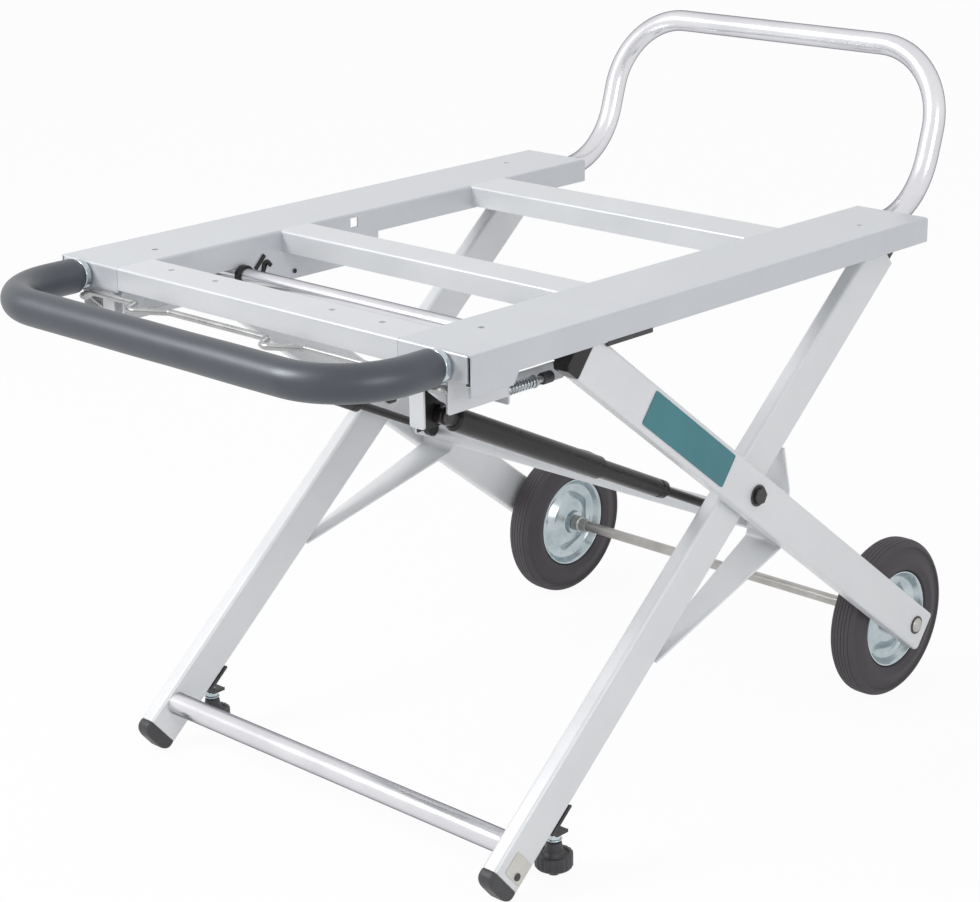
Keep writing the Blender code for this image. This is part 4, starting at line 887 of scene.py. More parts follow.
def make_hinge(side, tag):
    """Hinge under the rear of a rail: bracket with its ear, bolt with its head, and the leg's tongue.

    Ear, tab, head and tongue are outlines carried through their thickness; the round pieces are turned.
    """
    boss = FRONT_LEG_INNER + LEG_WALL - HAIR
    face = boss - EAR_BOSS
    inner = face - EAR_PLATE
    y, z = HINGE[1:]
    under = TOP - SHEET - GAP
    ear = [(y + EAR_RADIUS, under), (y - EAR_RADIUS, under)]
    ear = np.concatenate([ear, arc((y, z), EAR_RADIUS, 180, 360)])
    web = prism(ear, (side * (inner + face) / 2, 0, 0), Y, Z, EAR_PLATE, EDGE)
    near, far = inner, WHEEL_LEG_OUTER
    plate = rounded_box(far - near, 2 * EAR_RADIUS, EAR_CORNER)
    tab = prism(plate, (side * (near + far) / 2, y, under - SHEET / 2), X, Y, SHEET, FINE_EDGE)
    ring = rounded_box(EAR_COLLAR_WALL, EAR_BOSS + EAR_PLATE / 2, FINE_EDGE, centre=(EAR_COLLAR_MIDDLE, 0))
    collar = turned(ring, HINGE + (side * (face + EAR_BOSS / 2 - EAR_PLATE / 4), 0, 0), X, ring=True)
    show(make("hinge_ear_" + tag, web, tab, collar), "silver_paint", "hinge_bracket_" + tag)
    place = HINGE + (side * (inner - GAP - BOLT_HEAD / 2), 0, 0)
    head = prism(hexagon(BOLT_HEAD_RADIUS), place, Y, Z, BOLT_HEAD, SOFT_EDGE)
    length = FRONT_LEG_OUTER - inner + BOLT_HEAD / 2
    shank = bar(HINGE + (side * (FRONT_LEG_OUTER - length / 2), 0, 0), BOLT_RADIUS, length)
    rivet = bar(HINGE + (side * (FRONT_LEG_OUTER - HINGE_RIVET[1] / 2), 0, 0), *HINGE_RIVET)
    show(make("hinge_pin_" + tag, head, shank, rivet), "dark_steel", "hinge_bolt_" + tag)
    root = ARM - TONGUE_INSERT
    outline = np.concatenate([[(root, TONGUE_RADIUS), (root, -TONGUE_RADIUS)],
                              arc((ARM, 0), TONGUE_RADIUS, -90, 90)])
    thick = LEG_THICK - 2 * LEG_WALL - 2 * GAP
    tongue = prism(outline, PIVOT + (side * FRONT_LEG_X, 0, 0), LEG_UP, LEG_BACK, thick, ROUND_EDGE)
    show(make("leg_tongue_" + tag, tongue), "black_plastic", "hinge_tongue_" + tag)


def bar(centre, radius, length, axis=X, edge=SMALL_EDGE, count=ROUND):
    """Round bar about its centre: half a section with eased corners, turned round the bar's axis."""
    half = length / 2
    profile = [(0, -half), (radius - edge, -half), (radius, edge - half), (radius, half - edge),
               (radius - edge, half), (0, half)]
    return turned(profile, centre, axis, count)


def washer(centre, radius, bore, thick, axis=X):
    """Flat ring: a rounded box between bore and rim, turned round the ring's axis."""
    corner = min(thick, radius - bore) * WASHER_EASE
    ring = rounded_box(radius - bore, thick, corner, 3, centre=((radius + bore) / 2, 0))
    return turned(ring, centre, axis, ring=True)


def make_hanger(side, tag):
    """Sheet hanger under a rail's front end: face, cheek with the spring's stud, strip, tab, guide, cover.

    Each sheet is its outline carried through its thickness; the stud and its head are turned. A black sheet
    on the cheek's outer face is painted shade.
    """
    front = SHEET + GAP + HAIR
    under = -SHEET - GAP
    inner = SPRING_X - EYE_THICK / 2 - PLAY - HANGER_SHEET
    outer = inner + HANGER_WIDTH
    low = SPRING_FRONT[2] - TOP - HANGER_EAR
    strip_low = STRIP_TOP - STRIP_HEIGHT
    half = HANGER_SHEET / 2
    near, far, end = inner - FACE_SHIFT, outer - FACE_SHIFT - FACE_TRIM, low + FACE_TRIM
    place = TABLE + (side * (near + far) / 2, front + half, (under + end) / 2)
    face = rounded_box(far - near, under - end, HANGER_CORNER)
    face = prism(face, place, X, Z, HANGER_SHEET, SMALL_EDGE)
    eye = SPRING_FRONT[1:] - TABLE[1:]
    cheek = np.concatenate([[(front + half, under), (front + half, low)],
                            arc(eye, HANGER_EAR, -90, CHEEK_TURN),
                            [(HANGER_DEPTH, STRIP_TOP), (HANGER_DEPTH, under)]])
    # Black sheet on the cheek's outer face: painted shade on the cheek
    place = TABLE + (side * (inner + HANGER_SHEET - SHADE_SHEET_THICK / 2), 0, 0)
    shade_sheet = prism(inset(cheek, SMALL_EDGE), place, Y, Z, SHADE_SHEET_THICK)
    place = TABLE + (side * (inner + half - SHADE_SHEET_THICK / 2), 0, 0)
    cheek = prism(cheek, place, Y, Z, HANGER_SHEET - SHADE_SHEET_THICK, SMALL_EDGE)
    long_strip = bend([(STRIP_START, under - half), (STRIP_START, strip_low), (STRIP_LENGTH, strip_low),
                       (STRIP_LENGTH, STRIP_TOP), (STRIP_START + STRIP_ARM, STRIP_TOP),
                       (STRIP_START + STRIP_ARM, under - half)], STRIP_BEND, 4, closed=True)
    long_strip = prism(long_strip, TABLE + (side * (outer - half), 0, 0), Y, Z, HANGER_SHEET, SMALL_EDGE)
    place = TABLE + (side * (inner + outer) / 2, (front + half + HANGER_TAB) / 2, under - half)
    tab = rounded_box(outer - inner - 2 * half, HANGER_TAB - front - half, HANGER_CORNER)
    tab = prism(tab, place, X, Y, HANGER_SHEET, SMALL_EDGE)
    stud = bar(SPRING_FRONT + (side * (SPRING_X + STUD_SHIFT), 0, 0), STUD_RADIUS, EYE_THICK + STUD_LAP)
    head = bar(SPRING_FRONT + (side * (SPRING_X + EYE_THICK / 2 + STUD_HEAD_SEAT), 0, 0), *STUD_HEAD)
    near, far = outer - half, FRONT_HANDLE_X + GUIDE_OVERHANG
    guide_y = COIL_START - GAP - SHEET / 2
    place = TABLE + (side * (near + far) / 2, guide_y, (LATCH_Z + GUIDE_RISE + strip_low) / 2)
    web = rounded_box(far - near, LATCH_Z + GUIDE_RISE - strip_low, GUIDE_CORNER)
    web = prism(web, place, X, Z, SHEET, FINE_EDGE)
    cover = bend([(COVER_START, COVER_HIGH), (COVER_START, COVER_LOW), (guide_y, COVER_LOW),
                  (guide_y, COVER_TOP), (COVER_STEP, COVER_TOP), (COVER_STEP, COVER_HIGH)],
                 COVER_CORNER, 4, closed=True)
    cover = prism(cover, TABLE + (side * (far - SHEET / 4), 0, 0), Y, Z, SHEET / 2, FINE_EDGE / 2)
    hanger = make("spring_holder_" + tag, face, cheek, long_strip, tab, web, cover)
    show(hanger, "silver_paint", "spring_hanger_" + tag)
    show(make("spring_pad_" + tag, shade_sheet), "black_paint", body="table")
    show(make("spring_stud_" + tag, stud, head), "dark_steel", body="table")


def strap_line():
    """Strap's corners and bent middle line in the leg plane, out behind the strut tube and back again."""
    along = np.array((math.cos(STRAP_ANGLE), math.sin(STRAP_ANGLE)))
    outward = np.array((-along[1], along[0]))
    seat = np.array((STRUT_ALONG, STRUT_BEHIND)) + outward * (STRUT_RADIUS + GAP + STRAP_THICK / 2)
    edge = LEG_DEPTH / 2 + GAP + STRAP_THICK / 2
    corners = [(-STRAP_LOWER, edge), seat - STRAP_LOW * along, seat + STRAP_HIGH * along, (STRAP_UPPER, edge)]
    return np.array(corners), bend(corners, STRAP_BEND, 10)


def make_strap(side, tag):
    """Bent strap behind a front leg: a thin rounded section, wider at the strut tube than at its tips."""
    corners, line = strap_line()
    spots = corners[:, 0] + STRAP_WIDEN
    width = np.interp(line[:, 0], spots, (STRAP_TIP, STRAP_WIDTH, STRAP_WIDTH, STRAP_TIP))
    edge = rounded_box(STRAP_THICK, 4 * ROUND_EDGE, ROUND_EDGE)
    section = np.broadcast_to(edge, (len(line),) + edge.shape).copy()
    section[..., 1] += np.sign(edge[:, 1]) * (width[:, None] / 2 - 2 * ROUND_EDGE)
    section[..., 1] += side * (FRONT_LEG_OUTER - width[:, None] / 2)
    path = PIVOT + line[:, :1] * LEG_UP + line[:, 1:] * LEG_BACK
    show(make("gusset_" + tag, (carry(section, path, X), False, True)), "leg_paint", "strap_" + tag)


def leg_sleeve(side, x, depth, start, end):
    """Rectangular leg tube between two distances from the main pivot."""
    outline = rounded_box(LEG_THICK, LEG_DEPTH, LEG_CORNER, 6)
    return sleeve(outline, LEG_WALL, PIVOT + (side * x, 0, 0), X, depth, start, end)


def make_front_leg(side, tag):
    """Front leg tube, its domed end cap, its clip and its foot bracket with the nut.

    The tube is the leg's outline carried along it; clip, bracket and nut are carried through their thickness.
    """
    lower = (PIVOT[2] - LEG_END_HEIGHT) / LEG_UP[2]
    tube = leg_sleeve(side, FRONT_LEG_X, LEG_BACK, -lower, ARM - FRONT_LEG_TOP)
    show(make("leg_tube_" + tag, tube), "leg_paint", "front_leg_" + tag)
    show(make("leg_boot_" + tag, *boot(side, lower)), "black_plastic", "end_cap_" + tag)
    centre = (CLIP_START - lower + CLIP_LONG / 2, LEG_DEPTH / 2 - CLIP_WIDE / 2 - LEG_CORNER)
    outline = rounded_box(CLIP_LONG, CLIP_WIDE, CLIP_CORNER, centre=centre)
    place = PIVOT + (side * (FRONT_LEG_OUTER + CLIP_SHEET / 2), 0, 0)
    clip = prism(outline, place, LEG_UP, LEG_BACK, CLIP_SHEET, FINE_EDGE)
    show(make("leg_clip_" + tag, clip), "clip_steel", body="front_legs")
    along, behind = SCREW_PLACE
    radius, height = SCREW_HEAD
    place = PIVOT + (along - lower) * LEG_UP + behind * LEG_BACK
    place = place + (side * (FRONT_LEG_OUTER + CLIP_SHEET + height / 2), 0, 0)
    screw = bar(place, radius, height, edge=EDGE)
    show(make("clip_screw_" + tag, screw), "dark_steel", body="front_legs")
    shelf = SHELF_HEIGHT + BRACKET_SHEET / 2
    face = PIVOT + (LEG_DEPTH / 2 + GAP + BRACKET_SHEET / 2) * LEG_BACK
    corner = face + LEG_UP * (shelf - face[2]) / LEG_UP[2]
    line = [(corner + BRACKET_FLANGE * LEG_UP)[1:], corner[1:], (FOOT_Y + SHELF_END, shelf)]
    outline = strip(bend(line, BRACKET_BEND), BRACKET_SHEET)
    bracket = prism(outline, (side * FRONT_LEG_X, 0, 0), Y, Z, BRACKET_WIDTH, EDGE)
    show(make("foot_shelf_" + tag, bracket), "dark_steel", "foot_bracket_" + tag)
    place = (side * FRONT_LEG_X, FOOT_Y, SHELF_HEIGHT - NUT_HEIGHT / 2)
    nut = prism(hexagon(NUT_RADIUS), place, X, Y, NUT_HEIGHT, SOFT_EDGE)
    radius, bore, thick = NUT_WASHER
    place = (side * FRONT_LEG_X, FOOT_Y, SHELF_HEIGHT - NUT_HEIGHT - thick / 2)
    ring = washer(place, radius, bore, thick, Z)
    show(make("foot_nut_" + tag, nut, ring), "zinc", body="front_legs")


def boot(side, lower):
    """Black end cap: leg sections that shrink towards the tip as a dome does, and the plug inside the tube.

    Down the cap, each half width is the leg's own less the sag of its own rounding circle.
    """
    share = np.sin(np.linspace(0, np.pi / 2, CAP_ROWS))
    depth = np.concatenate([[0.0, CAP_RIM], CAP_RIM + (CAP_LENGTH - CAP_RIM) * share[1:]])
    outline = rounded_box(LEG_THICK, LEG_DEPTH, LEG_CORNER, 6)
    turn = np.clip((depth - CAP_DOME) / (CAP_LENGTH - CAP_DOME), 0, CAP_TURN)
    narrow = 1 - CAP_NARROW * (1 - np.sqrt(1 - turn ** 4))
    short = 1 - CAP_SHORT * (1 - np.sqrt(1 - turn ** 2))
    drawn = outline * np.stack([narrow, short], 1)[:, None]
    drawn[0] *= CAP_STEP
    origin = PIVOT + (side * FRONT_LEG_X, 0, 0)
    down = (lower + GAP + depth)[:, None, None] * LEG_UP
    grid = origin + drawn[..., :1] * X + drawn[..., 1:] * LEG_BACK - down
    shrink = 2 * LEG_WALL + 2 * GAP
    inside = rounded_box(LEG_THICK - shrink, LEG_DEPTH - shrink, PLUG_CORNER)
    place = origin - (lower + GAP - CAP_PLUG / 2 + PLUG_LAP) * LEG_UP
    plug = prism(inside, place, X, LEG_BACK, CAP_PLUG + 2 * PLUG_LAP)
    return (grid, False, True), plug


def make_leg_tubes():
    """Strut tube with its spring lugs, and the bright tube near the floor: outlines carried along x."""
    tube = sleeve(circle(STRUT_RADIUS), LEG_WALL, STRUT, Y, Z, -FRONT_LEG_OUTER, FRONT_LEG_OUTER)
    ear = capsule(SPRING_REAR[1:], STRUT[1:], EYE_RADIUS)
    lug_x = SPRING_X + EYE_THICK / 2 + GAP + LUG_THICK / 2
    lugs = [prism(ear, (side * lug_x, 0, 0), Y, Z, LUG_THICK, EDGE) for side, _ in SIDES]
    show(make("strut_bar", tube, *lugs), "silver_paint", "strut_tube")
    reach = FRONT_LEG_INNER - GAP
    tube = sleeve(circle(TUBE_RADIUS), LEG_WALL, middle("foot_tube"), Y, Z, -reach, reach)
    show(make("floor_bar", tube), "bright_tube", "foot_tube")


def make_foot(side, tag):
    """Screw foot: a stem with a real thread, and a ribbed knob with a rim and a raised middle.

    The stem's radius is a triangle wave of the height over the pitch less the share of the turn. The knob's
    rim swells with the cosine of its ribs.
    """
    place = np.array((side * FRONT_LEG_X, FOOT_Y, 0.0))
    high = SHELF_HEIGHT + BRACKET_SHEET + STEM_OVER
    rows = np.linspace(STEM_LOW, high, STEM_ROWS)
    profile = np.stack([np.full(STEM_ROWS, STEM_RADIUS), rows], 1)
    profile = np.concatenate([[(0, STEM_LOW)], profile, [(0, high)]])

    def thread(radius, height, angle):
        phase = (height / THREAD_PITCH - angle / (2 * np.pi)) % 1
        return radius - np.where(radius > 0, THREAD_DEPTH * (1 - np.abs(2 * phase - 1)), 0), height

    screw = turned(profile, place, Z, SMALL_ROUND, thread)
    show(make("screw_" + tag, screw), "zinc", "foot_stem_" + tag)
    profile = np.concatenate([[(0, KNOB_SEAT)], bend(KNOB, KNOB_BEND, 4), [(0, 0)]])

    def ribs(radius, height, angle):
        start, band = RIB_BAND
        edge = np.clip((radius - start * KNOB_RADIUS) / (band * KNOB_RADIUS), 0, 1) * (height > RIB_LOW)
        return radius - RIB_DEPTH * edge * (0.5 - 0.5 * np.cos(KNOB_RIBS * angle)) ** 2, height

    knob = turned(profile, place, Z, FINE_ROUND, ribs)
    show(make("knob_" + tag, knob), "black_plastic", "foot_knob_" + tag)


def make_wheel_leg(side, tag):
    """Wheel leg tube with its slider block and bush, the main pivot bolt and the wheel's spacer.

    The tube is the leg's outline carried along it, the block and the bolt's head and nut are carried through
    their thickness, and the round pieces are turned.
    """
    top = ARM + WHEEL_LEG_TOP
    tube = leg_sleeve(side, WHEEL_LEG_X, ARM_TOP, -AXLE_REACH - WHEEL_LEG_OVERHANG, top)
    show(make("arm_tube_" + tag, tube), "leg_paint", "wheel_leg_" + tag)
    half = LEG_DEPTH / 2
    start = top + GAP
    tip = start + BLOCK_HEAD
    step = BLOCK_STEP
    head = [(start, -half), (tip - step, -half), (tip, step - half), (tip, half - 2 * step),
            (tip - step, half - step), (start, half - step)]
    origin = PIVOT + (side * WHEEL_LEG_X, 0, 0)
    head = bend(head, BLOCK_CORNER, 4, closed=True)
    head = prism(head, origin, ARM_UP, ARM_TOP, LEG_THICK, ROUND_EDGE)
    inside = half - LEG_WALL - GAP
    centre = (start - BLOCK_PLUG / 2, -step / 2)
    plug = rounded_box(BLOCK_PLUG + PLUG_LAP, 2 * inside - step, PLUG_CORNER, centre=centre)
    plug = prism(plug, origin, ARM_UP, ARM_TOP, LEG_THICK - 2 * LEG_WALL - 2 * GAP)
    show(make("slide_block_" + tag, head, plug), "black_paint", "slider_block_" + tag)
    bush = washer(middle("slider_bush_" + tag) + (side * BUSH_SHIFT, 0, 0), *BUSH)
    show(make("bush_" + tag, bush), "black_paint", "slider_bush_" + tag)
    outer = WHEEL_LEG_OUTER + GAP
    inner = FRONT_LEG_INNER - PLAY
    place = PIVOT + (side * (outer + BOLT_HEAD / 2 + FLANGE_THICK / 2), 0, 0)
    head = prism(hexagon(PIVOT_HEAD_RADIUS), place, Y, Z, BOLT_HEAD - FLANGE_THICK, PIVOT_HEAD_EDGE)
    place = PIVOT + (side * (outer + FLANGE_THICK / 2), 0, 0)
    flange = washer(place, BOLT_FLANGE, BOLT_RADIUS - LAP, FLANGE_THICK)
    place = PIVOT + (side * (inner - BOLT_HEAD / 2), 0, 0)
    nut = prism(hexagon(BOLT_HEAD_RADIUS), place, Y, Z, BOLT_HEAD, SOFT_EDGE)
    shank = bar(PIVOT + (side * (inner + outer) / 2, 0, 0), BOLT_RADIUS, outer - inner + BOLT_HEAD)
    show(make("pivot_pin_" + tag, head, flange, nut, shank), "dark_steel", "pivot_bolt_" + tag)
    node = "wheel_spacer_" + tag
    low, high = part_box(node)
    length = high.x - low.x
    profile = bend(np.array(SPACER) * (1, length), SMALL_EDGE, 3, closed=True)
    show(make("spacer_" + tag, turned(profile, middle(node), -side * X, ring=True)), "bare_steel", node)


def make_leg_bars():
    """Axle with its head and nut, the slider tube and the plain plate on the right wheel leg.

    Axle, head and nut are turned, the tube is a circle carried along x and the plate a thin rounded box.
    """
    outer = WHEEL_LEG_OUTER + GAP
    rod = bar(AXLE, AXLE_RADIUS, 2 * outer + AXLE_HEAD / 2)
    dome = np.concatenate([[(0, 0)], bend(AXLE_DOME, AXLE_DOME_BENDS, 4)])
    show(make("axle_rod", rod, turned(dome, AXLE - outer * X, -X)), "bare_steel", "axle")
    radius, thick = NUT_SEAT
    seat = washer(AXLE + (outer + thick / 2) * X, radius, AXLE_RADIUS - GAP, thick)
    show(make("nut_seat", seat), "dark_steel", body=NODE_BODY["axle_nut"])
    show(make("end_nut", turned(dome, AXLE + (outer + GAP) * X, X)), "bare_steel", "axle_nut")
    low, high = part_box("slider_tube")
    tube = sleeve(circle(SLIDER_RADIUS), LEG_WALL, SLIDER, Y, Z, low.x, high.x)
    show(make("slide_bar", tube), "bright_tube", "slider_tube")
    middle_along = ARM - PLATE_START - PLATE_SIZE[0] / 2
    outline = rounded_box(*PLATE_SIZE, PLATE_CORNER, centre=(middle_along, 0))
    place = PIVOT + (outer + PLATE_THICK / 2, 0, 0)
    plate = prism(outline, place, ARM_UP, ARM_TOP, PLATE_THICK, PLATE_EDGE)
    show(make("teal_face", plate), "teal_plate", "side_plate")


def make_wheel(side, tag):
    """Tyre with a grooved tread, and a pressed hub, turned about the axle with the outer side up.

    The tread's radius falls from its crown with the fourth power of the offset and dips by a cosine bell in
    each groove. The hub's web is pressed back in pockets by a cosine of the angle.
    """
    centre = AXLE + (side * WHEEL_X, 0, 0)
    offset = np.linspace(-TREAD_HALF, TREAD_HALF, TREAD_ROWS)
    radius = TYRE_RADIUS - TREAD_FALL * (np.abs(offset) / TREAD_HALF) ** 4
    gap = np.abs(offset[:, None] - np.array(TREAD_GROOVES)) / GROOVE_HALF
    radius = radius - GROOVE_DEPTH * (0.5 + 0.5 * np.cos(np.pi * np.clip(gap, 0, 1))).sum(1)
    tread = np.stack([radius, offset], 1)
    wall = bend(TYRE_WALL, TYRE_BENDS, 5)
    profile = np.concatenate([tread, wall, wall[::-1] * (1, -1)])
    tyre = turned(profile, centre, side * X, FINE_ROUND, ring=True)
    show(make("tread_" + tag, tyre), "tyre", "tyre_" + tag)
    dish = bend(HUB_DISH, HUB_BENDS, 8)
    boss = [(HUB_BORE, HUB_LONG_HALF), (HUB_BOSS - HUB_RIM, HUB_LONG_HALF),
            (HUB_BOSS, HUB_LONG_HALF - HUB_RIM)]
    outside = np.concatenate([boss, dish[1:]])
    inside = np.concatenate([dish[::-1] * (1, -1), [(HUB_BORE, -HUB_HALF)]])

    def pockets(radius, height, angle):
        away = (radius - HUB_BOSS - HUB_WAIST * HUB_REACH) / (HUB_POCKET_SPREAD * HUB_REACH)
        bell = np.exp(-(away ** 2))
        press = HUB_POCKET_DEPTH * bell * (0.5 + 0.5 * np.cos(HUB_POCKETS * angle))
        return radius, height - np.sign(height) * press

    hub = turned(np.concatenate([outside, inside]), centre, side * X, HUB_ROUND, pockets, ring=True)
    show(make("rim_" + tag, hub), "zinc", "hub_" + tag)


def make_gas_spring(side, tag):
    """Gas spring: barrel with a crimped end and its eye, and the rod with its own eye.

    Barrel and rod are profiles turned round the spring's line, the eyes are turned round x.
    """
    x = side * SPRING_X
    profile = np.concatenate([[(0, BARREL[0][1])], bend(BARREL, FINE_EDGE, 3), [(0, BARREL[-1][1])]])
    barrel = turned(profile, SPRING_FRONT + (x, 0, 0), SPRING_LINE)
    centre = ((EYE_RADIUS + EYE_BORE) / 2, 0)
    ring = rounded_box(EYE_RADIUS - EYE_BORE, EYE_THICK, EYE_CORNER, centre=centre)
    eye = turned(ring, SPRING_FRONT + (x, 0, 0), X, ring=True)
    show(make("barrel_" + tag, barrel, eye), "black_paint", "gas_cylinder_" + tag)
    length = np.linalg.norm(SPRING_REAR - SPRING_FRONT)
    first, last = CYLINDER_END - ROD_INSERT, length - EYE_RADIUS / 2
    place = SPRING_FRONT + (x, 0, 0) + (first + last) / 2 * SPRING_LINE
    rod = bar(place, ROD_RADIUS, last - first, SPRING_LINE)
    eye = bar(SPRING_REAR + (x, 0, 0), EYE_RADIUS, EYE_THICK, edge=ROUND_EDGE)
    show(make("rod_" + tag, rod, eye), "black_paint", "gas_rod_" + tag)


def make_release():
    """Release wire with two finger hooks, its collars, the springs round its arms and their black tips.

    The wire dips at both ends, where it passes under the grip when pulled.
    """
    x, y = FRONT_HANDLE_X, -WIRE_FORWARD
    start, end = WIRE_LOW
    arm = [(x, LATCH_END, LATCH_Z), (x, WIRE_DIP_END, LATCH_Z), (x, WIRE_DIP_START, -WIRE_LOW_DROP),
           (x, y, -WIRE_LOW_DROP), (start, y, -WIRE_LOW_DROP), (end, y, -WIRE_DROP)]
    arm_bends = [WIRE_BEND, WIRE_BEND, WIRE_DIP_START, WIRE_DIP_START, WIRE_DIP_START]
    corners = list(arm)
    bends = list(arm_bends)
    for place in sorted(HOOK_PLACES, reverse=True):
        for step, reach, radius in HOOK_CORNERS:
            corners.append((place + step, y - reach, -WIRE_DROP))
            bends.append(radius)
    corners += [(-px, py, pz) for px, py, pz in reversed(arm)]
    bends += reversed(arm_bends)
    line = wire(bend(corners, bends, 10) + TABLE, WIRE_RADIUS)
    tip = np.concatenate([[(0, LATCH_TIP[0][1])], bend(LATCH_TIP, SOFT_EDGE, 3)])
    radius, thick = WIRE_COLLAR
    rings = []
    for side, tag in SIDES:
        place = TABLE + (side * x, COIL_START + COIL_LENGTH + GAP + thick / 2, LATCH_Z)
        rings.append(washer(place, radius, WIRE_RADIUS - GAP, thick, Y))
        node = "latch_tip_" + tag
        latch_end = make("latch_end_" + tag, turned(tip, middle(node), Y, SMALL_ROUND))
        show(latch_end, "black_plastic", node)
        spring = show(make("coil_" + tag, coil(side * x)), "zinc", "latch_spring_" + tag)
        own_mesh(spring)
    show(make("release_wire", line, *rings), "steel_wire", "release_bar")


def coil(x):
    """Latch spring: a wire along a helix whose rise eases to flat at both ends."""
    turns = COIL_TURNS + COIL_FLAT_TURNS
    share = np.linspace(0, 1, COIL_STEPS * turns)
    turn = 2 * np.pi * turns * share
    ease = np.interp(share, COIL_RUN, COIL_RISE)
    y = COIL_START + COIL_WIRE + GAP + (COIL_LENGTH - 2 * COIL_WIRE - 2 * GAP) * ease
    path = np.stack([x + COIL_RADIUS * np.cos(turn), y, LATCH_Z + COIL_RADIUS * np.sin(turn)], 1) + TABLE
    return wire(path, COIL_WIRE, Y, COIL_ROUND)


def make_floor():
    """Wide pale floor: seen directly or in gloss it is nearly white, and it keeps a faint shadow."""
    mesh = bpy.data.meshes.new("floor")
    half = FLOOR_HALF
    corners = [(-half, -half, 0), (half, -half, 0), (half, half, 0), (-half, half, 0)]
    mesh.from_pydata(corners, [], [(0, 1, 2, 3)])
    floor = bpy.data.objects.new("floor", mesh)
    bpy.context.scene.collection.objects.link(floor)
    material = bpy.data.materials.new("pale_floor")
    material.use_nodes = True
    tree = material.node_tree
    tree.nodes.clear()
    output = tree.nodes.new("ShaderNodeOutputMaterial")
    matt = add_node(tree, "ShaderNodeBsdfDiffuse", Color=FLOOR_TONE)
    glow = add_node(tree, "ShaderNodeEmission", Color=(1.0, 1.0, 1.0, 1.0), Strength=1.0)
    share = add_node(tree, "ShaderNodeMath")
    share.operation = "MULTIPLY"
    share.inputs[1].default_value = FLOOR_GLOW
    blend = tree.nodes.new("ShaderNodeMixShader")
    tree.links.new(seen_rays(tree), share.inputs[0])
    tree.links.new(share.outputs[0], blend.inputs[0])
    tree.links.new(matt.outputs[0], blend.inputs[1])
    tree.links.new(glow.outputs[0], blend.inputs[2])
    tree.links.new(blend.outputs[0], output.inputs["Surface"])
    mesh.materials.append(material)


def seen_rays(tree):
    """One for rays from the camera, in gloss or through glass, else nought."""
    path = tree.nodes.new("ShaderNodeLightPath")
    first = add_node(tree, "ShaderNodeMath")
    second = add_node(tree, "ShaderNodeMath")
    first.operation = "MAXIMUM"
    second.operation = "MAXIMUM"
    tree.links.new(path.outputs["Is Camera Ray"], first.inputs[0])
    tree.links.new(path.outputs["Is Glossy Ray"], first.inputs[1])
    tree.links.new(first.outputs[0], second.inputs[0])
    tree.links.new(path.outputs["Is Transmission Ray"], second.inputs[1])
    return second.outputs[0]


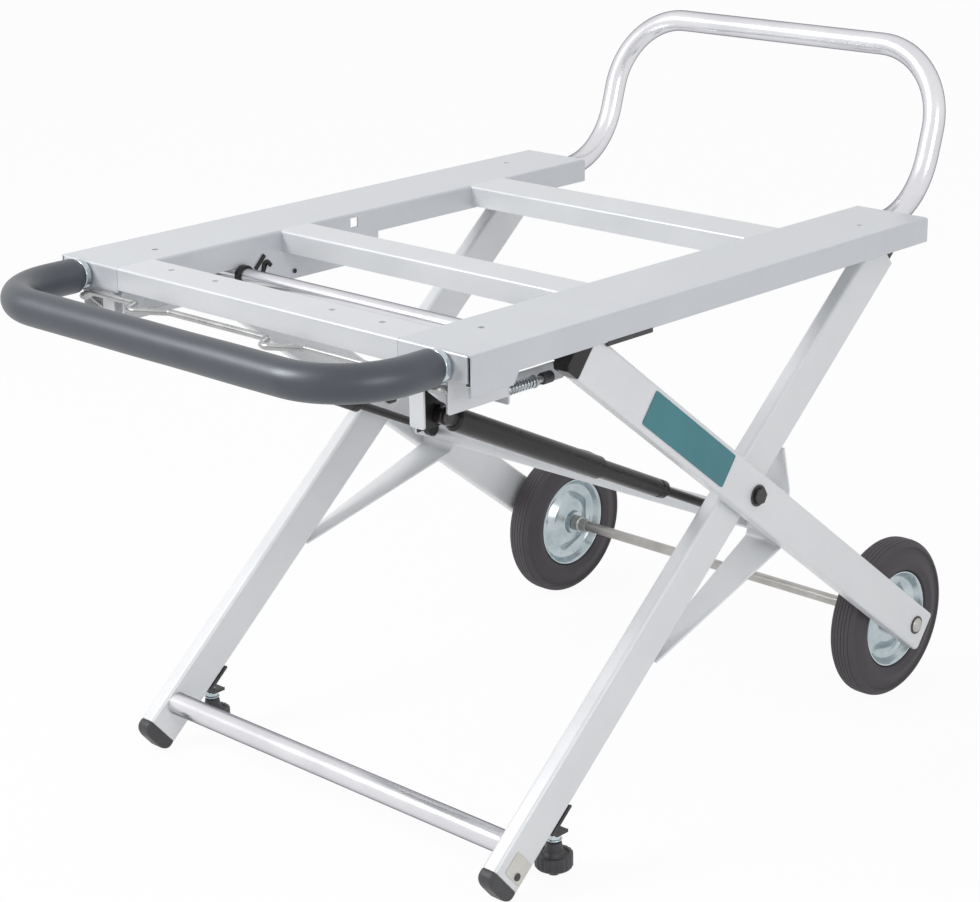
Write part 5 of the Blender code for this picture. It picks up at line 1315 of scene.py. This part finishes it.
def make_light():
    """Soft sky, brighter above than below and white where it is seen, a key lamp and a fill lamp."""
    world = bpy.data.worlds.new("studio")
    bpy.context.scene.world = world
    world.use_nodes = True
    tree = world.node_tree
    tree.nodes.clear()
    output = tree.nodes.new("ShaderNodeOutputWorld")
    place = tree.nodes.new("ShaderNodeTexCoord")
    parts = tree.nodes.new("ShaderNodeSeparateXYZ")
    tree.links.new(place.outputs["Generated"], parts.inputs[0])
    level = add_node(tree, "ShaderNodeMapRange", From_Min=-1.0, From_Max=1.0, To_Min=0.0, To_Max=1.0)
    tree.links.new(parts.outputs["Z"], level.inputs["Value"])
    ramp = tree.nodes.new("ShaderNodeValToRGB")
    stops = ramp.color_ramp.elements
    stops[0].position, stops[0].color = SKY_BELOW
    stops[1].position, stops[1].color = SKY_ABOVE
    half_way = stops.new(SKY_LEVEL[0])
    half_way.color = SKY_LEVEL[1]
    tree.links.new(level.outputs["Result"], ramp.inputs["Fac"])
    dim = add_node(tree, "ShaderNodeBackground", Strength=1.0)
    tree.links.new(ramp.outputs["Color"], dim.inputs["Color"])
    white = add_node(tree, "ShaderNodeBackground", Color=(1.0, 1.0, 1.0, 1.0), Strength=1.0)
    blend = tree.nodes.new("ShaderNodeMixShader")
    tree.links.new(seen_rays(tree), blend.inputs[0])
    tree.links.new(dim.outputs[0], blend.inputs[1])
    tree.links.new(white.outputs[0], blend.inputs[2])
    tree.links.new(blend.outputs[0], output.inputs["Surface"])
    for name, power, size, direction in LAMPS:
        lamp = bpy.data.lights.new(name, "AREA")
        lamp.energy = power
        lamp.size = size
        lit = bpy.data.objects.new(name, lamp)
        lit.location = LAMP_AIM + LAMP_REACH * Vector(direction).normalized()
        lit.rotation_euler = (LAMP_AIM - lit.location).to_track_quat("-Z", "Y").to_euler()
        bpy.context.scene.collection.objects.link(lit)


def make_camera():
    """Camera at the picture's angle: it looks from an azimuth and an elevation, rolled a little."""
    azimuth, elevation, roll = (math.radians(turn) for turn in CAMERA_TURNS)
    right = np.array((math.cos(azimuth), math.sin(azimuth), 0.0))
    back = np.array((math.sin(azimuth) * math.cos(elevation), -math.cos(azimuth) * math.cos(elevation),
                     math.sin(elevation)))
    up = np.cross(back, right)
    turned_right = right * math.cos(roll) + up * math.sin(roll)
    turned_up = -right * math.sin(roll) + up * math.cos(roll)
    lens = bpy.data.cameras.new("camera")
    lens.lens = CAMERA_LENS
    lens.sensor_width = SENSOR_WIDTH
    lens.sensor_fit = "HORIZONTAL"
    lens.clip_end = VIEW_LIMIT
    camera = bpy.data.objects.new("camera", lens)
    matrix = np.eye(4)
    matrix[:3, 0] = turned_right
    matrix[:3, 1] = turned_up
    matrix[:3, 2] = back
    matrix[:3, 3] = CAMERA_PLACE
    camera.matrix_world = Matrix(matrix.tolist())
    bpy.context.scene.collection.objects.link(camera)
    bpy.context.scene.camera = camera


make_camera()
make_light()
make_floor()
bpy.context.scene.view_settings.view_transform = "Standard"
make_cross_members()
make_handles()
make_leg_tubes()
make_leg_bars()
make_release()
for side, tag in SIDES:
    make_rail(side, tag)
    make_hinge(side, tag)
    make_hanger(side, tag)
    make_strap(side, tag)
    make_front_leg(side, tag)
    make_foot(side, tag)
    make_wheel_leg(side, tag)
    make_wheel(side, tag)
    make_gas_spring(side, tag)
